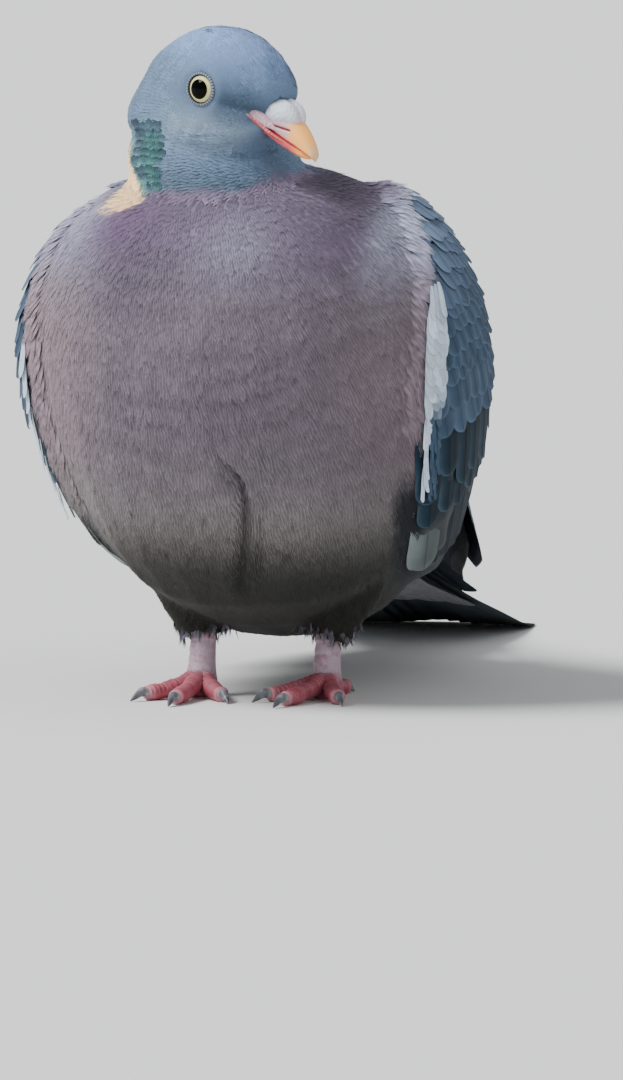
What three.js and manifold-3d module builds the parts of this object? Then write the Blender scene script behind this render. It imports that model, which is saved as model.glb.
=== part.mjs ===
// A common wood pigeon, life size: it stands upright on both feet with its head turned to its left.
// Millimetres, +Z up. The bird faces -Y and its left side is +X; the floor is the plane Z = 0.
// Feathered forms are closed solids of the plumage's outer shape, parted by thin cuts.
import * as THREE from "three";
import { mergeVertices } from "three/addons/utils/BufferGeometryUtils.js";
import Module from "manifold-3d";

const wasm = await Module();
wasm.setup();

// ---- Driving dimensions ----
const GAP = 0.3; // clearance between neighbouring solids
const FLOOR_FLAT = 0.35; // how much of each rounded underside is planed off where it stands
const BODY_X = -1; // the trunk's middle, a little to the right of the feet
const HEAD = { x: -6.5, y: -28, z: 175.5, yaw: 63, pitch: 12 }; // centre, and turn in degrees
const NECK_CUT = { z: 154, tilt: 14 }; // plane between head and neck, degrees down at the throat
const TRUNK_CUT = { z: 137, tilt: 24 }; // plane between neck and trunk
const EYE = { side: 12.6, forward: 6, up: 6.4, radius: 5.6 }; // eyeball in the head's own frame
const WING = { front: { left: 0.13, right: 0.18 }, rear: 0.86, middle: 68, reach: 54 };
const WING_DEPTH = { above: 7.5, below: 2.5 }; // of the folded wing, from the trunk's surface
const TOE = { radius: 2.6, tipRadius: 2.1, clawRadius: 1.35 };
const PAD_RADIUS = 5.2; // of the round pad where the toes meet
const TOES = { 1: [13, 7], 2: [21, 7], 3: [29, 8.5], 4: [22, 7] }; // fleshy length and claw length
const FEET = {
  left: { x: 19, y: 1, turns: { 1: 168, 2: -40, 3: -12, 4: 22 } },
  right: { x: -18, y: -1, turns: { 1: 194, 2: 30, 3: -2, 4: -34 } },
};
const FOOT_HEIGHT = 5.2; // centre of the pad where the toes meet

const SHADES = {
  head: ["#7d93a8", 0.85],
  neck: ["#8d8aa0", 0.85],
  trunk: ["#8f8187", 0.9],
  wing: ["#5f7184", 0.8],
  flight: ["#2b3238", 0.7],
  tail: ["#3a444c", 0.75],
  down: ["#a09aa0", 0.9],
  bill: ["#e9b27a", 0.4],
  billBase: ["#d98a90", 0.45],
  cere: ["#d8d8e0", 0.6],
  eye: ["#d6dba6", 0.1],
  leg: ["#b5495c", 0.55],
  claw: ["#565356", 0.4],
};

// ---- Tools ----
const radians = THREE.MathUtils.degToRad;
const vector = (x, y, z) => new THREE.Vector3(x, y, z);

// A smooth curve through [x, y, z] points; its parameter runs evenly from point to point.
function curveThrough(points) {
  return new THREE.CatmullRomCurve3(points.map((p) => vector(...p)), false, "catmullrom", 0.5);
}

// A sphere whose grid is moved to pointAt(around, along); both run from 0 to 1, and along has a pole at each end.
function form(aroundSteps, alongSteps, pointAt) {
  const geometry = new THREE.SphereGeometry(1, aroundSteps, alongSteps);
  const { position, uv } = geometry.attributes;
  for (let i = 0; i < position.count; i++) {
    const point = pointAt(uv.getX(i), 1 - uv.getY(i));
    position.setXYZ(i, point.x, point.y, point.z);
  }
  return geometry;
}

function enclosedVolume(geometry) {
  const { position } = geometry.attributes;
  const order = geometry.index.array;
  const [a, b, c] = [vector(), vector(), vector()];
  let sum = 0;
  for (let i = 0; i < order.length; i += 3) {
    a.fromBufferAttribute(position, order[i]);
    b.fromBufferAttribute(position, order[i + 1]);
    c.fromBufferAttribute(position, order[i + 2]);
    sum += a.dot(b.cross(c)) / 6;
  }
  return sum;
}

// A closed geometry as a manifold solid, with its faces turned outwards.
function solid(geometry) {
  const bare = geometry.clone();
  bare.deleteAttribute("normal");
  bare.deleteAttribute("uv");
  const merged = mergeVertices(bare, 1e-3);
  const triVerts = new Uint32Array(merged.index.array);
  if (enclosedVolume(merged) < 0) {
    for (let i = 0; i < triVerts.length; i += 3) {
      [triVerts[i + 1], triVerts[i + 2]] = [triVerts[i + 2], triVerts[i + 1]];
    }
  }
  const vertProperties = new Float32Array(merged.attributes.position.array);
  return new wasm.Manifold(new wasm.Mesh({ numProp: 3, vertProperties, triVerts }));
}

function cut(shape, ...cutters) {
  return cutters.reduce((rest, cutter) => rest.subtract(cutter), shape);
}

function largestPiece(shape) {
  return shape.decompose().sort((a, b) => b.volume() - a.volume())[0];
}

// The part of a shape on the far side of a plane z = height that is tilted about X, less half a gap.
function keepSide(shape, { z, tilt }, side) {
  const size = 400;
  const block = new THREE.BoxGeometry(size, size, size);
  block.translate(0, 0, side * (size / 2 + GAP / 2));
  block.rotateX(radians(tilt));
  block.translate(0, HEAD.y, z);
  return shape.intersect(solid(block));
}

function standOnFloor(shape) {
  const size = 800;
  const block = new THREE.BoxGeometry(size, size, size);
  block.translate(0, 0, size / 2);
  return shape.intersect(solid(block));
}

const bird = new THREE.Group();

function addPiece(name, shade, shape) {
  const mesh = largestPiece(shape).getMesh();
  const geometry = new THREE.BufferGeometry();
  geometry.setAttribute("position", new THREE.BufferAttribute(mesh.vertProperties, mesh.numProp));
  geometry.setIndex(new THREE.BufferAttribute(mesh.triVerts, 1));
  geometry.computeVertexNormals();
  const [color, roughness] = SHADES[shade];
  const material = new THREE.MeshStandardMaterial({ color, roughness, metalness: 0 });
  const piece = new THREE.Mesh(geometry, material);
  piece.name = name;
  bird.add(piece);
}

// ---- Trunk ----
// Each pair of points is one section: [half-width, y, z] at the back, and [-, y, z] at the belly.
const SIDES = { left: 1, right: -1 };
const BACK = curveThrough([
  [0, -22, 160],
  [41.5, 8, 155],
  [59.5, 38, 134],
  [61.5, 64, 107],
  [51, 88, 78],
  [36, 108, 57],
  [22, 126, 43],
  [0, 138, 35],
]);
const BELLY = curveThrough([
  [0, -22, 160],
  [0, -58, 144],
  [0, -77, 112],
  [0, -69, 72],
  [0, -38, 33],
  [0, 22, 14],
  [0, 80, 17],
  [0, 138, 35],
]);
const SQUARENESS = 0.94; // below 1 fills a section out towards its corners

const rounded = (value) => Math.sign(value) * Math.abs(value) ** SQUARENESS;

function trunkSkin(t, angle) {
  const back = BACK.getPoint(t);
  const belly = BELLY.getPoint(t);
  const fromBack = (1 - rounded(Math.cos(angle))) / 2;
  return vector(
    BODY_X + back.x * rounded(Math.sin(angle)),
    THREE.MathUtils.lerp(back.y, belly.y, fromBack),
    THREE.MathUtils.lerp(back.z, belly.z, fromBack),
  );
}

// A point lifted off the trunk's surface. The angle runs from the back, 0, over the left side to the belly, PI.
function trunkPoint(t, angle, lift = 0) {
  const point = trunkSkin(t, angle);
  if (lift === 0) return point;
  const step = 0.01;
  const round = trunkSkin(t, angle + step).sub(trunkSkin(t, angle - step));
  const back = trunkSkin(Math.min(t + step, 1), angle).sub(trunkSkin(Math.max(t - step, 0), angle));
  const outward = round.cross(back).normalize();
  const middle = trunkSkin(t, 0).add(trunkSkin(t, Math.PI)).multiplyScalar(0.5);
  if (outward.dot(point.clone().sub(middle)) < 0) outward.negate();
  return point.addScaledVector(outward, lift);
}

function trunkForm(grow = 0) {
  return form(26, 20, (around, along) => {
    return trunkPoint(along, around * 2 * Math.PI, along > 0 && along < 1 ? grow : 0);
  });
}

// ---- Head and neck ----
// The crown and throat outlines in the head's own frame: [half-width, -forward, up].
const CROWN = curveThrough([
  [0, 25.5, -6],
  [13.5, 22.5, 9],
  [17.2, 11, 20],
  [18, -4, 23.4],
  [16.5, -16.5, 19.4],
  [11.5, -23.4, 11.5],
  [6.5, -24.6, 6],
  [0, -23.5, 1.5],
]);
const THROAT = curveThrough([
  [0, 25.5, -6],
  [0, 22, -17],
  [0, 10, -22],
  [0, -4, -22],
  [0, -14, -16],
  [0, -19, -8.5],
  [0, -22, -3.5],
  [0, -23.5, 1.5],
]);

const headPlace = new THREE.Matrix4()
  .makeTranslation(HEAD.x, HEAD.y, HEAD.z)
  .multiply(new THREE.Matrix4().makeRotationZ(radians(HEAD.yaw)))
  .multiply(new THREE.Matrix4().makeRotationX(radians(HEAD.pitch)));

// The face narrows on both sides of the bill's root, under the brow.
function pinchLores(point) {
  const ahead = THREE.MathUtils.smoothstep(-point.y, 7, 20);
  const nearGape = Math.exp(-(((point.z + 0.5) / 5.5) ** 2));
  point.x *= 1 - 0.5 * ahead * nearGape;
  return point;
}

function onHead(geometry) {
  return geometry.applyMatrix4(headPlace);
}

// A form whose sections hang between an upper and a lower outline, both in the plane of symmetry.
// A jowl above 0 makes a section narrower above its middle and wider below it.
function hungBetween(upper, lower, aroundSteps, alongSteps, { grow = 0, jowl = 0 } = {}) {
  return form(aroundSteps, alongSteps, (around, along) => {
    const top = upper.getPoint(along);
    const bottom = lower.getPoint(along);
    const angle = around * 2 * Math.PI;
    const middle = top.clone().add(bottom).multiplyScalar(0.5);
    const half = top.clone().sub(bottom).multiplyScalar(0.5);
    const swell = grow * Math.sin(Math.PI * along);
    const reach = half.length() === 0 ? 1 : 1 + swell / half.length();
    const width = 1 - jowl * Math.cos(angle) * Math.sin(angle) ** 2;
    return vector(
      (top.x + swell) * width * Math.sin(angle),
      middle.y + half.y * reach * Math.cos(angle),
      middle.z + half.z * reach * Math.cos(angle),
    );
  });
}

// [x, y, z] of the neck's centre line with its half-width and half-depth, from inside the trunk to the head.
const NECK_LINE = curveThrough([
  [-1, 4, 96],
  [-1.5, -8, 118],
  [-4, -19, 140],
  [-7.5, -25, 154],
  [-10.5, -26, 167],
  [-11, -26, 186],
]);
const NECK_WIDTHS = curveThrough([
  [0, 0, 0],
  [45, 43, 0],
  [34, 33, 0],
  [27, 26, 0],
  [21.5, 21.5, 0],
  [0, 0, 0],
]);

function neckForm() {
  return form(24, 12, (around, along) => {
    const centre = NECK_LINE.getPoint(along);
    const width = NECK_WIDTHS.getPoint(along);
    const angle = around * 2 * Math.PI;
    const lean = NECK_CUT.tilt * (Math.PI / 180);
    return vector(
      centre.x + width.x * Math.sin(angle),
      centre.y + width.y * Math.cos(angle) * Math.cos(lean),
      centre.z + width.y * Math.cos(angle) * Math.sin(lean),
    );
  });
}

// ---- Eyes ----
function eyeball(side, radius) {
  const ball = new THREE.SphereGeometry(radius, 12, 8);
  ball.translate(side * EYE.side, -EYE.forward, EYE.up);
  return solid(onHead(ball));
}

// ---- Bill ----
// Outlines of the two mandibles in the head's frame: [half-width, -forward, up].
const CULMEN = curveThrough([
  [0, -11, 1],
  [6.4, -16, 4.8],
  [5, -22, 6.2],
  [4.6, -28, 4],
  [3.8, -33, 1],
  [2.8, -36.8, -2.5],
  [1.4, -39.2, -6],
  [0, -39.2, -9],
]);
const GAPE = curveThrough([
  [0, -11, 1],
  [6.4, -16, 0.6],
  [5, -20.5, -0.8],
  [4.6, -26, -2.6],
  [3.8, -31, -4.2],
  [2.8, -35, -5.4],
  [1.4, -38.2, -6.8],
  [0, -39.2, -9],
]);
const LOWER_EDGE = curveThrough([
  [0, -12, -1],
  [6, -16, -0.2],
  [4.6, -21, -1.5],
  [4, -26, -3.2],
  [3.2, -31, -4.9],
  [2.2, -35, -6.2],
  [0, -37.6, -7.8],
]);
const CHIN = curveThrough([
  [0, -12, -1],
  [0, -16, -3],
  [0, -21, -4.8],
  [0, -26, -5.8],
  [0, -31, -7],
  [0, -35, -7.9],
  [0, -37.6, -7.8],
]);
const CERE = { side: 2.3, forward: 25.6, up: 3.6, radii: [3.4, 6.2, 3.6], droop: 14 };

function cereHalf(side, grow) {
  const swelling = new THREE.SphereGeometry(1, 8, 6);
  swelling.scale(...CERE.radii.map((radius) => radius + grow));
  swelling.rotateX(radians(CERE.droop));
  swelling.translate(side * CERE.side, -CERE.forward, CERE.up);
  return solid(onHead(swelling));
}

// ---- Wings ----
// The shield of scapulars and coverts lies on the trunk: an oval in the trunk's own surface parameters.
function wingShield(name, grow) {
  const side = SIDES[name];
  const geometry = form(16, 14, (around, along) => {
    const spread = Math.sin(Math.PI * along) ** 0.62;
    const turn = around * 2 * Math.PI;
    const front = WING.front[name] - grow * 0.003;
    const t = THREE.MathUtils.lerp(front, WING.rear + grow * 0.003, along);
    const middle = radians(WING.middle - 9 * (along - 0.35));
    const reach = radians(WING.reach + grow * 0.4) * spread;
    const thick = (WING_DEPTH.above + WING_DEPTH.below) / 2 + grow;
    const lift = (WING_DEPTH.above - WING_DEPTH.below) / 2 + thick * spread * Math.sin(turn);
    return trunkPoint(t, side * (middle + reach * Math.cos(turn)), lift);
  });
  return solid(geometry);
}

// The folded flight feathers: a blade from the flank to the wing tip, which leans over the tail.
const BLADE_LINE = curveThrough([
  [48, 42, 68],
  [44, 66, 57],
  [34.5, 100, 44],
  [25, 138, 34.5],
  [17.5, 172, 26.5],
  [12, 206, 17.5],
]);
// Half-height, half-thickness, and lean of the blade from upright, in degrees.
const BLADE_SIZE = curveThrough([
  [0, 0, 12],
  [25, 4.2, 18],
  [20, 3.8, 28],
  [12.5, 3, 40],
  [7.5, 2.2, 52],
  [0, 0, 60],
]);

function wingBlade(side, grow) {
  const geometry = form(12, 12, (around, along) => {
    const centre = BLADE_LINE.getPoint(along);
    const size = BLADE_SIZE.getPoint(along);
    const turn = around * 2 * Math.PI;
    const high = (size.x + grow * Math.sin(Math.PI * along)) * Math.cos(turn);
    const out = (size.y + grow * Math.sin(Math.PI * along)) * Math.sin(turn);
    const lean = radians(size.z);
    return vector(
      side * (centre.x - high * Math.sin(lean) + out * Math.cos(lean)),
      centre.y,
      centre.z + high * Math.cos(lean) + out * Math.sin(lean),
    );
  });
  return solid(geometry);
}

// ---- Tail ----
// The folded tail slopes to the floor, where its tip rests: [x, y, z] of its middle.
const TAIL_LINE = curveThrough([
  [0, 96, 44],
  [0, 126, 34],
  [0, 160, 23],
  [0, 200, 11.2],
  [0, 232, 2.2],
  [0, 247, 0.2],
]);
// Half-width, half-thickness and how far the sides droop below the middle.
const TAIL_SIZE = curveThrough([
  [14, 3, 3],
  [21, 4.6, 4],
  [24.5, 3.4, 3.6],
  [28, 2.1, 2.4],
  [28.5, 1.4, 0.9],
  [17, 0.9, 0],
]);

function tailForm(grow) {
  return form(20, 12, (around, along) => {
    const centre = TAIL_LINE.getPoint(along);
    const size = TAIL_SIZE.getPoint(along);
    const turn = around * 2 * Math.PI;
    const endRound = Math.min(1, Math.sqrt(Math.sin(Math.PI * along) * 3.2));
    const across = Math.cos(turn);
    return vector(
      (size.x * endRound + grow) * across * (along > 0 && along < 1 ? 1 : 0),
      centre.y,
      Math.max(centre.z, 0) -
        size.z * across * across * endRound +
        (size.y * endRound + grow) * Math.sin(turn) * (along > 0 && along < 1 ? 1 : 0),
    );
  });
}

// ---- Legs ----
function tube(points, radii, aroundSteps, alongSteps, flatten = 1) {
  const line = curveThrough(points);
  const sizes = curveThrough(radii.map((radius) => [radius, 0, 0]));
  return form(aroundSteps, alongSteps, (around, along) => {
    const centre = line.getPoint(along);
    const tangent = line.getTangent(along);
    const turn = around * 2 * Math.PI;
    const across = vector(-tangent.y, tangent.x, 0);
    if (across.lengthSq() < 1e-6) across.set(1, 0, 0);
    across.normalize();
    const upward = tangent.clone().cross(across).normalize();
    const radius = along > 0 && along < 1 ? Math.max(sizes.getPoint(along).x, 0.05) : 0;
    return centre
      .addScaledVector(across, radius * Math.cos(turn))
      .addScaledVector(upward, radius * flatten * Math.sin(turn));
  });
}

// A point on the floor plan at a distance from a foot's middle, in the direction of a toe, at a height.
function alongToe(foot, toe, distance, height) {
  const angle = radians(foot.turns[toe]);
  return [foot.x + distance * Math.sin(angle), foot.y - distance * Math.cos(angle), height];
}

// The toe's own sector of the floor plan: a prism that stops half a gap short of its neighbours' sectors.
function toeSector(foot, toe) {
  const angles = Object.values(foot.turns).map((turn) => ((turn % 360) + 360) % 360);
  const own = ((foot.turns[toe] % 360) + 360) % 360;
  const ahead = Math.min(...angles.map((angle) => (angle - own + 360) % 360 || 360)) / 2;
  const behind = Math.min(...angles.map((angle) => (own - angle + 360) % 360 || 360)) / 2;
  const reach = 90;
  const apex = GAP / 2 / Math.sin(radians(Math.min(ahead, behind)));
  const corner = (turn, distance) => {
    const angle = radians(foot.turns[toe] + turn);
    return new THREE.Vector2(distance * Math.sin(angle), -distance * Math.cos(angle));
  };
  const start = corner(0, apex).add(new THREE.Vector2(foot.x, foot.y));
  const outline = [start, start.clone().add(corner(ahead, reach)), start.clone().add(corner(-behind, reach))];
  const prism = new THREE.ExtrudeGeometry(new THREE.Shape(outline), { depth: 40, bevelEnabled: false });
  return solid(prism);
}

// The half of space beyond (side 1) or short of (side -1) a distance along a toe, less half a gap.
function beyondOnToe(foot, toe, distance, side) {
  const size = 120;
  const block = new THREE.BoxGeometry(size, size, size);
  block.translate(0, -side * (size / 2 + GAP / 2) - distance, 0);
  block.rotateZ(radians(foot.turns[toe]));
  block.translate(foot.x, foot.y, 0);
  return solid(block);
}

function padCutter(foot) {
  const post = new THREE.CylinderGeometry(PAD_RADIUS + 0.75, PAD_RADIUS + 0.75, 24, 12);
  post.rotateX(Math.PI / 2);
  post.translate(foot.x, foot.y, 0);
  return solid(post);
}

function toeForm(foot, toe) {
  const [length] = TOES[toe];
  const lowest = TOE.radius - FLOOR_FLAT;
  const shares = [0, 0.15, 0.4, 0.7, 0.94, 1.04];
  const heights = [FOOT_HEIGHT, FOOT_HEIGHT, 3.4, lowest, lowest - 0.2, lowest - 0.2];
  const points = shares.map((share, i) => alongToe(foot, toe, share * length, heights[i]));
  const { radius, tipRadius } = TOE;
  return solid(tube(points, [0, radius, radius * 0.98, radius, tipRadius, 0], 8, 7));
}

function clawForm(foot, toe) {
  const [length, claw] = TOES[toe];
  const start = length - 2;
  const points = [
    alongToe(foot, toe, start, 2.3),
    alongToe(foot, toe, start + 1.5, 2.4),
    alongToe(foot, toe, start + claw * 0.6, 2.5),
    alongToe(foot, toe, start + claw * 0.9, 1.5),
    alongToe(foot, toe, start + claw + 1.5, -0.3),
  ];
  const { clawRadius } = TOE;
  return solid(tube(points, [0, clawRadius, clawRadius, clawRadius * 0.65, 0], 6, 6));
}

function shankForm(foot, grow) {
  const points = [
    [foot.x, foot.y, 0.3 - 3 * grow],
    [foot.x, foot.y, 1.6],
    [foot.x, foot.y + 1, 9],
    [foot.x, foot.y + 3, 18],
    [foot.x, foot.y + 4.5, 26],
    [foot.x, foot.y + 5, 34 + 3 * grow],
  ];
  const radii = [0, PAD_RADIUS, 4.1, 3.7, 4, 0];
  return solid(tube(points, radii.map((radius) => (radius > 0 ? radius + grow : 0)), 10, 8));
}

// The feathered upper leg: a short tapered boss that closes round the shank under the belly.
function thighForm(foot) {
  const points = [
    [foot.x * 1.06, foot.y + 2, 14],
    [foot.x * 1.06, foot.y + 2, 16],
    [foot.x * 1.12, foot.y + 3, 23],
    [foot.x * 1.24, foot.y + 5, 34],
    [foot.x * 1.24, foot.y + 5, 48],
  ];
  return solid(tube(points, [0, 6.3, 9, 13, 0], 14, 7));
}

// ---- Assembly ----
function plumage() {
  const face = hungBetween(CROWN, THROAT, 22, 17, { jowl: 0.5 });
  const { position } = face.attributes;
  for (let i = 0; i < position.count; i++) {
    const point = pinchLores(vector().fromBufferAttribute(position, i));
    position.setXYZ(i, point.x, point.y, point.z);
  }
  const head = solid(onHead(face));
  const whole = solid(trunkForm()).add(solid(neckForm())).add(head);
  const below = keepSide(whole, NECK_CUT, -1);
  return {
    head: keepSide(whole, NECK_CUT, 1),
    neck: keepSide(below, TRUNK_CUT, 1),
    trunk: keepSide(below, TRUNK_CUT, -1),
  };
}

function buildHead(head, shields) {
  const upperBill = (grow) => solid(onHead(hungBetween(CULMEN, GAPE, 10, 9, { grow })));
  const lowerBill = (grow) => solid(onHead(hungBetween(LOWER_EDGE, CHIN, 10, 8, { grow })));
  const cere = (grow) => cereHalf(1, grow).add(cereHalf(-1, grow));
  const eyes = Object.values(SIDES).map((side) => eyeball(side, EYE.radius + GAP));
  addPiece("head", "head", cut(head, ...shields, ...eyes, upperBill(0.5), lowerBill(0.5), cere(GAP)));
  addPiece("bill_upper", "bill", cut(upperBill(0), cere(GAP)));
  addPiece("bill_lower", "billBase", cut(lowerBill(0), upperBill(0.5), cere(GAP)));
  addPiece("cere", "cere", cere(0));
  for (const [name, side] of Object.entries(SIDES)) addPiece(`eye_${name}`, "eye", eyeball(side, EYE.radius));
}

function buildWings(tail) {
  for (const [name, side] of Object.entries(SIDES)) {
    const blade = cut(wingBlade(side, 0), wingShield(name, GAP), tail);
    addPiece(`wing_${name}`, "wing", wingShield(name, 0));
    addPiece(`flight_feathers_${name}`, "flight", blade);
  }
}

function buildLeg(name, foot, belly) {
  addPiece(`thigh_${name}`, "down", cut(thighForm(foot), belly, shankForm(foot, GAP)));
  addPiece(`shank_${name}`, "leg", cut(shankForm(foot, 0), belly));
  for (const toe of Object.keys(TOES)) {
    const joint = TOES[toe][0] - 0.8;
    const flesh = standOnFloor(toeForm(foot, toe)).intersect(toeSector(foot, toe));
    const claw = standOnFloor(clawForm(foot, toe));
    const toeSolid = flesh.intersect(beyondOnToe(foot, toe, joint, -1));
    addPiece(`toe_${name}_${toe}`, "leg", cut(toeSolid, padCutter(foot)));
    addPiece(`claw_${name}_${toe}`, "claw", claw.intersect(beyondOnToe(foot, toe, joint, 1)));
  }
}

function buildBird() {
  const { head, neck, trunk } = plumage();
  const shields = Object.keys(SIDES).map((name) => wingShield(name, GAP));
  const blades = Object.values(SIDES).map((side) => wingBlade(side, GAP));
  const tail = solid(tailForm(GAP));
  buildHead(head, shields);
  addPiece("neck", "neck", cut(neck, ...shields));
  addPiece("trunk", "trunk", cut(trunk, ...shields, ...blades, tail));
  addPiece("tail", "tail", standOnFloor(solid(tailForm(0))));
  buildWings(tail);
  const belly = solid(trunkForm(GAP));
  for (const [name, foot] of Object.entries(FEET)) buildLeg(name, foot, belly);
}

buildBird();

// The origin lies on the floor under the middle of the whole bird.
const box = new THREE.Box3().setFromObject(bird);
const centre = box.getCenter(vector());
for (const piece of bird.children) piece.geometry.translate(-centre.x, -centre.y, -box.min.z);

export default bird;
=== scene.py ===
# %% [markdown]
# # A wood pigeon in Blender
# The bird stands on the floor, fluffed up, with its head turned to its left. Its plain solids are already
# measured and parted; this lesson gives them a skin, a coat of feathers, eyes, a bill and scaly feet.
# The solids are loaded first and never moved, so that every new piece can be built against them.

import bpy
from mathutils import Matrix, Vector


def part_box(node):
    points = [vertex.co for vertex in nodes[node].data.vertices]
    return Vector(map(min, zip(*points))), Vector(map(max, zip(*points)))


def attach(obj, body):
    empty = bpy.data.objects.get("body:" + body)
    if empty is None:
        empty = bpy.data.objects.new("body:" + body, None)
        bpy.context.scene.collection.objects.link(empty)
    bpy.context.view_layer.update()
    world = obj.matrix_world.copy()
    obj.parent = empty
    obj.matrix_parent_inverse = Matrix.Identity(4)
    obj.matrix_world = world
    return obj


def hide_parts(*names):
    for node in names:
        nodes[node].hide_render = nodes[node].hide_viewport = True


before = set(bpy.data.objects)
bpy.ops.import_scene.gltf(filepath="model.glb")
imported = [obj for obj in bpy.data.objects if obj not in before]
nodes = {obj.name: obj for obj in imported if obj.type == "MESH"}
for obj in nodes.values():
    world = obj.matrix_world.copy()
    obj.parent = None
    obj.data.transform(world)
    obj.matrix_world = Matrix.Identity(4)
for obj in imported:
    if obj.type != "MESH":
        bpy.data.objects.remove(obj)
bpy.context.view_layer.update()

# %% [markdown]
# ## Small tools
# Lengths are thought of in millimetres and stored in metres. `curve` runs a smooth line through a few
# points, `ramp` fades from 0 to 1, and one seeded generator makes every random choice, so that each run
# of the lesson builds the same bird.

# %% Small tools
import math

import bmesh
import bpy
import numpy as np
from mathutils import Matrix, Vector
from mathutils.bvhtree import BVHTree

MM = 0.001
rng = np.random.default_rng(20)
THIN = 1.0  # a quick trial wears a thinner coat


def unit(v):
    return v / np.maximum(np.linalg.norm(v, axis=-1, keepdims=True), 1e-12)


def ramp(x, low, high):
    """0 at low, 1 at high and a soft fade between them; low may be the greater one."""
    t = np.clip((np.asarray(x, float) - low) / (high - low), 0, 1)
    return t * t * (3 - 2 * t)


def bell(x, middle, width):
    """1 in the middle, fading to nothing on both sides."""
    return np.exp(-(((x - middle) / width) ** 2))


def mix(a, b, share):
    share = np.asarray(share)[..., None]
    return a * (1 - share) + b * share


def curve(points, t):
    """A smooth line through the points, read at t from 0 to 1."""
    points = np.asarray(points, float)
    ends = np.vstack([2 * points[0] - points[1], points, 2 * points[-1] - points[-2]])
    t = np.clip(np.asarray(t, float), 0, 1) * (len(points) - 1)
    i = np.minimum(t.astype(int), len(points) - 2)
    u = (t - i)[..., None]
    a, b, c, d = ends[i], ends[i + 1], ends[i + 2], ends[i + 3]
    return 0.5 * (2 * b + (c - a) * u + (2 * a - 5 * b + 4 * c - d) * u**2 + (3 * b - a - 3 * c + d) * u**3)


print("feather spacing is multiplied by", THIN)

# %% [markdown]
# ## Where things are
# Two sets of places are used. Body places are in millimetres from the point between the feet. Head
# places are in the head's own axes: side, backwards and up from the middle of the head, which is turned
# and tipped. Both are found from the eye solids, so they stay right if the solids move.

# %% Body places and head places
HEAD_MIDDLE = np.array([-6.5, -28, 175.5])  # a body place
HEAD_TURN, HEAD_TIP = math.radians(63), math.radians(12)
EYE = np.array([12.6, -6.0, 6.4])  # the middle of the left eye, a head place
EYE_RADIUS = 5.6
head_axes = np.array(Matrix.Rotation(HEAD_TURN, 3, "Z") @ Matrix.Rotation(HEAD_TIP, 3, "X"))
eye_corners = [np.array(corner) for side in ("left", "right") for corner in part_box("eye_" + side)]
head_origin = np.mean(eye_corners, axis=0) - head_axes @ (np.array([0, EYE[1], EYE[2]]) * MM)
SHIFT = head_origin - HEAD_MIDDLE * MM


def place(points):
    """Scene places, in metres, of body places."""
    return np.asarray(points, float) * MM + SHIFT


def body_mm(points):
    return (np.asarray(points) - SHIFT) / MM


def on_head(points):
    """Scene places, in metres, of head places."""
    return np.asarray(points, float) @ head_axes.T * MM + head_origin


def head_mm(points):
    return (np.asarray(points) - head_origin) @ head_axes / MM


print("feet middle", place([0, 0, 0]).round(4), "head middle", head_origin.round(4))

# %% [markdown]
# ## Making pieces
# A finished piece is a mesh with its place baked into its points, riding on the body, and the solids it
# stands for are hidden. `sphere_form` is the workhorse for round things: a sphere made by bmesh, whose
# points are moved to wherever a function of "how far around" and "how far along" puts them.

# %% Piece helpers
def adopt(mesh, material, replaces=()):
    """Makes a finished mesh a piece of the bird, in place of the solids that it stands for."""
    piece = bpy.data.objects.new(mesh.name, mesh)
    bpy.context.collection.objects.link(piece)
    mesh.materials.clear()
    mesh.materials.append(material)
    mesh.shade_smooth()
    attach(piece, "root")
    if replaces:
        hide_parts(*replaces)
    print(f"{mesh.name}: {len(mesh.polygons)} faces")


def sphere_form(bm, around_steps, along_steps, point_at):
    """A closed round form; point_at(around, along) places its points, both shares from 0 to 1."""
    made = bmesh.ops.create_uvsphere(bm, u_segments=around_steps, v_segments=along_steps, radius=1)["verts"]
    ball = np.array([v.co for v in made])
    along = np.arccos(np.clip(-ball[:, 2], -1, 1)) / math.pi
    around = np.arctan2(ball[:, 1], ball[:, 0]) / (2 * math.pi) % 1
    for vert, co in zip(made, point_at(around, along)):
        vert.co = co
    return made


def painted_bmesh():
    bm = bmesh.new()
    bm.verts.layers.float_color.new("plumage")
    return bm


def paint_verts(bm, verts, colours):
    layer = bm.verts.layers.float_color["plumage"]
    for vert, colour in zip(verts, colours):
        vert[layer] = (*colour, 1)


def finish_mesh(bm, name):
    bmesh.ops.recalc_face_normals(bm, faces=bm.faces[:])
    mesh = bpy.data.meshes.new(name)
    bm.to_mesh(mesh)
    bm.free()
    return mesh


def read_vectors(source, name):
    values = np.empty(len(source) * 3, np.float32)
    source.foreach_get(name, values)
    return values.reshape(-1, 3).astype(float)


def read_points(mesh):
    return read_vectors(mesh.vertices, "co")


def read_normals(mesh):
    return read_vectors(mesh.vertex_normals, "vector")


def write_points(mesh, points):
    mesh.vertices.foreach_set("co", points.astype(np.float32).ravel())
    mesh.update()


def paint(mesh, colours):
    layer = mesh.color_attributes.new(name="plumage", type="FLOAT_COLOR", domain="POINT")
    layer.data.foreach_set("color", np.c_[colours, np.ones(len(colours))].astype(np.float32).ravel())


def tint(*rgb):
    """A colour as it looks in this bright studio, 0 to 255, turned into the share of light returned."""
    c = np.array(rgb, float) / 255
    return 0.82 * np.where(c <= 0.04045, c / 12.92, ((c + 0.055) / 1.055) ** 2.4)


# %% [markdown]
# ## The skin
# One skin runs from the bill to the tail with no seam. Copies of the fleshy solids and of the folded
# wings are swollen a little so that the thin cuts between them close, then a voxel remesh melts them
# together. The facets are ironed out by moving each point to and fro between its neighbours, which
# smooths without shrinking. Later, the skin sinks by the depth of the coat that will lie on it.

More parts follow.
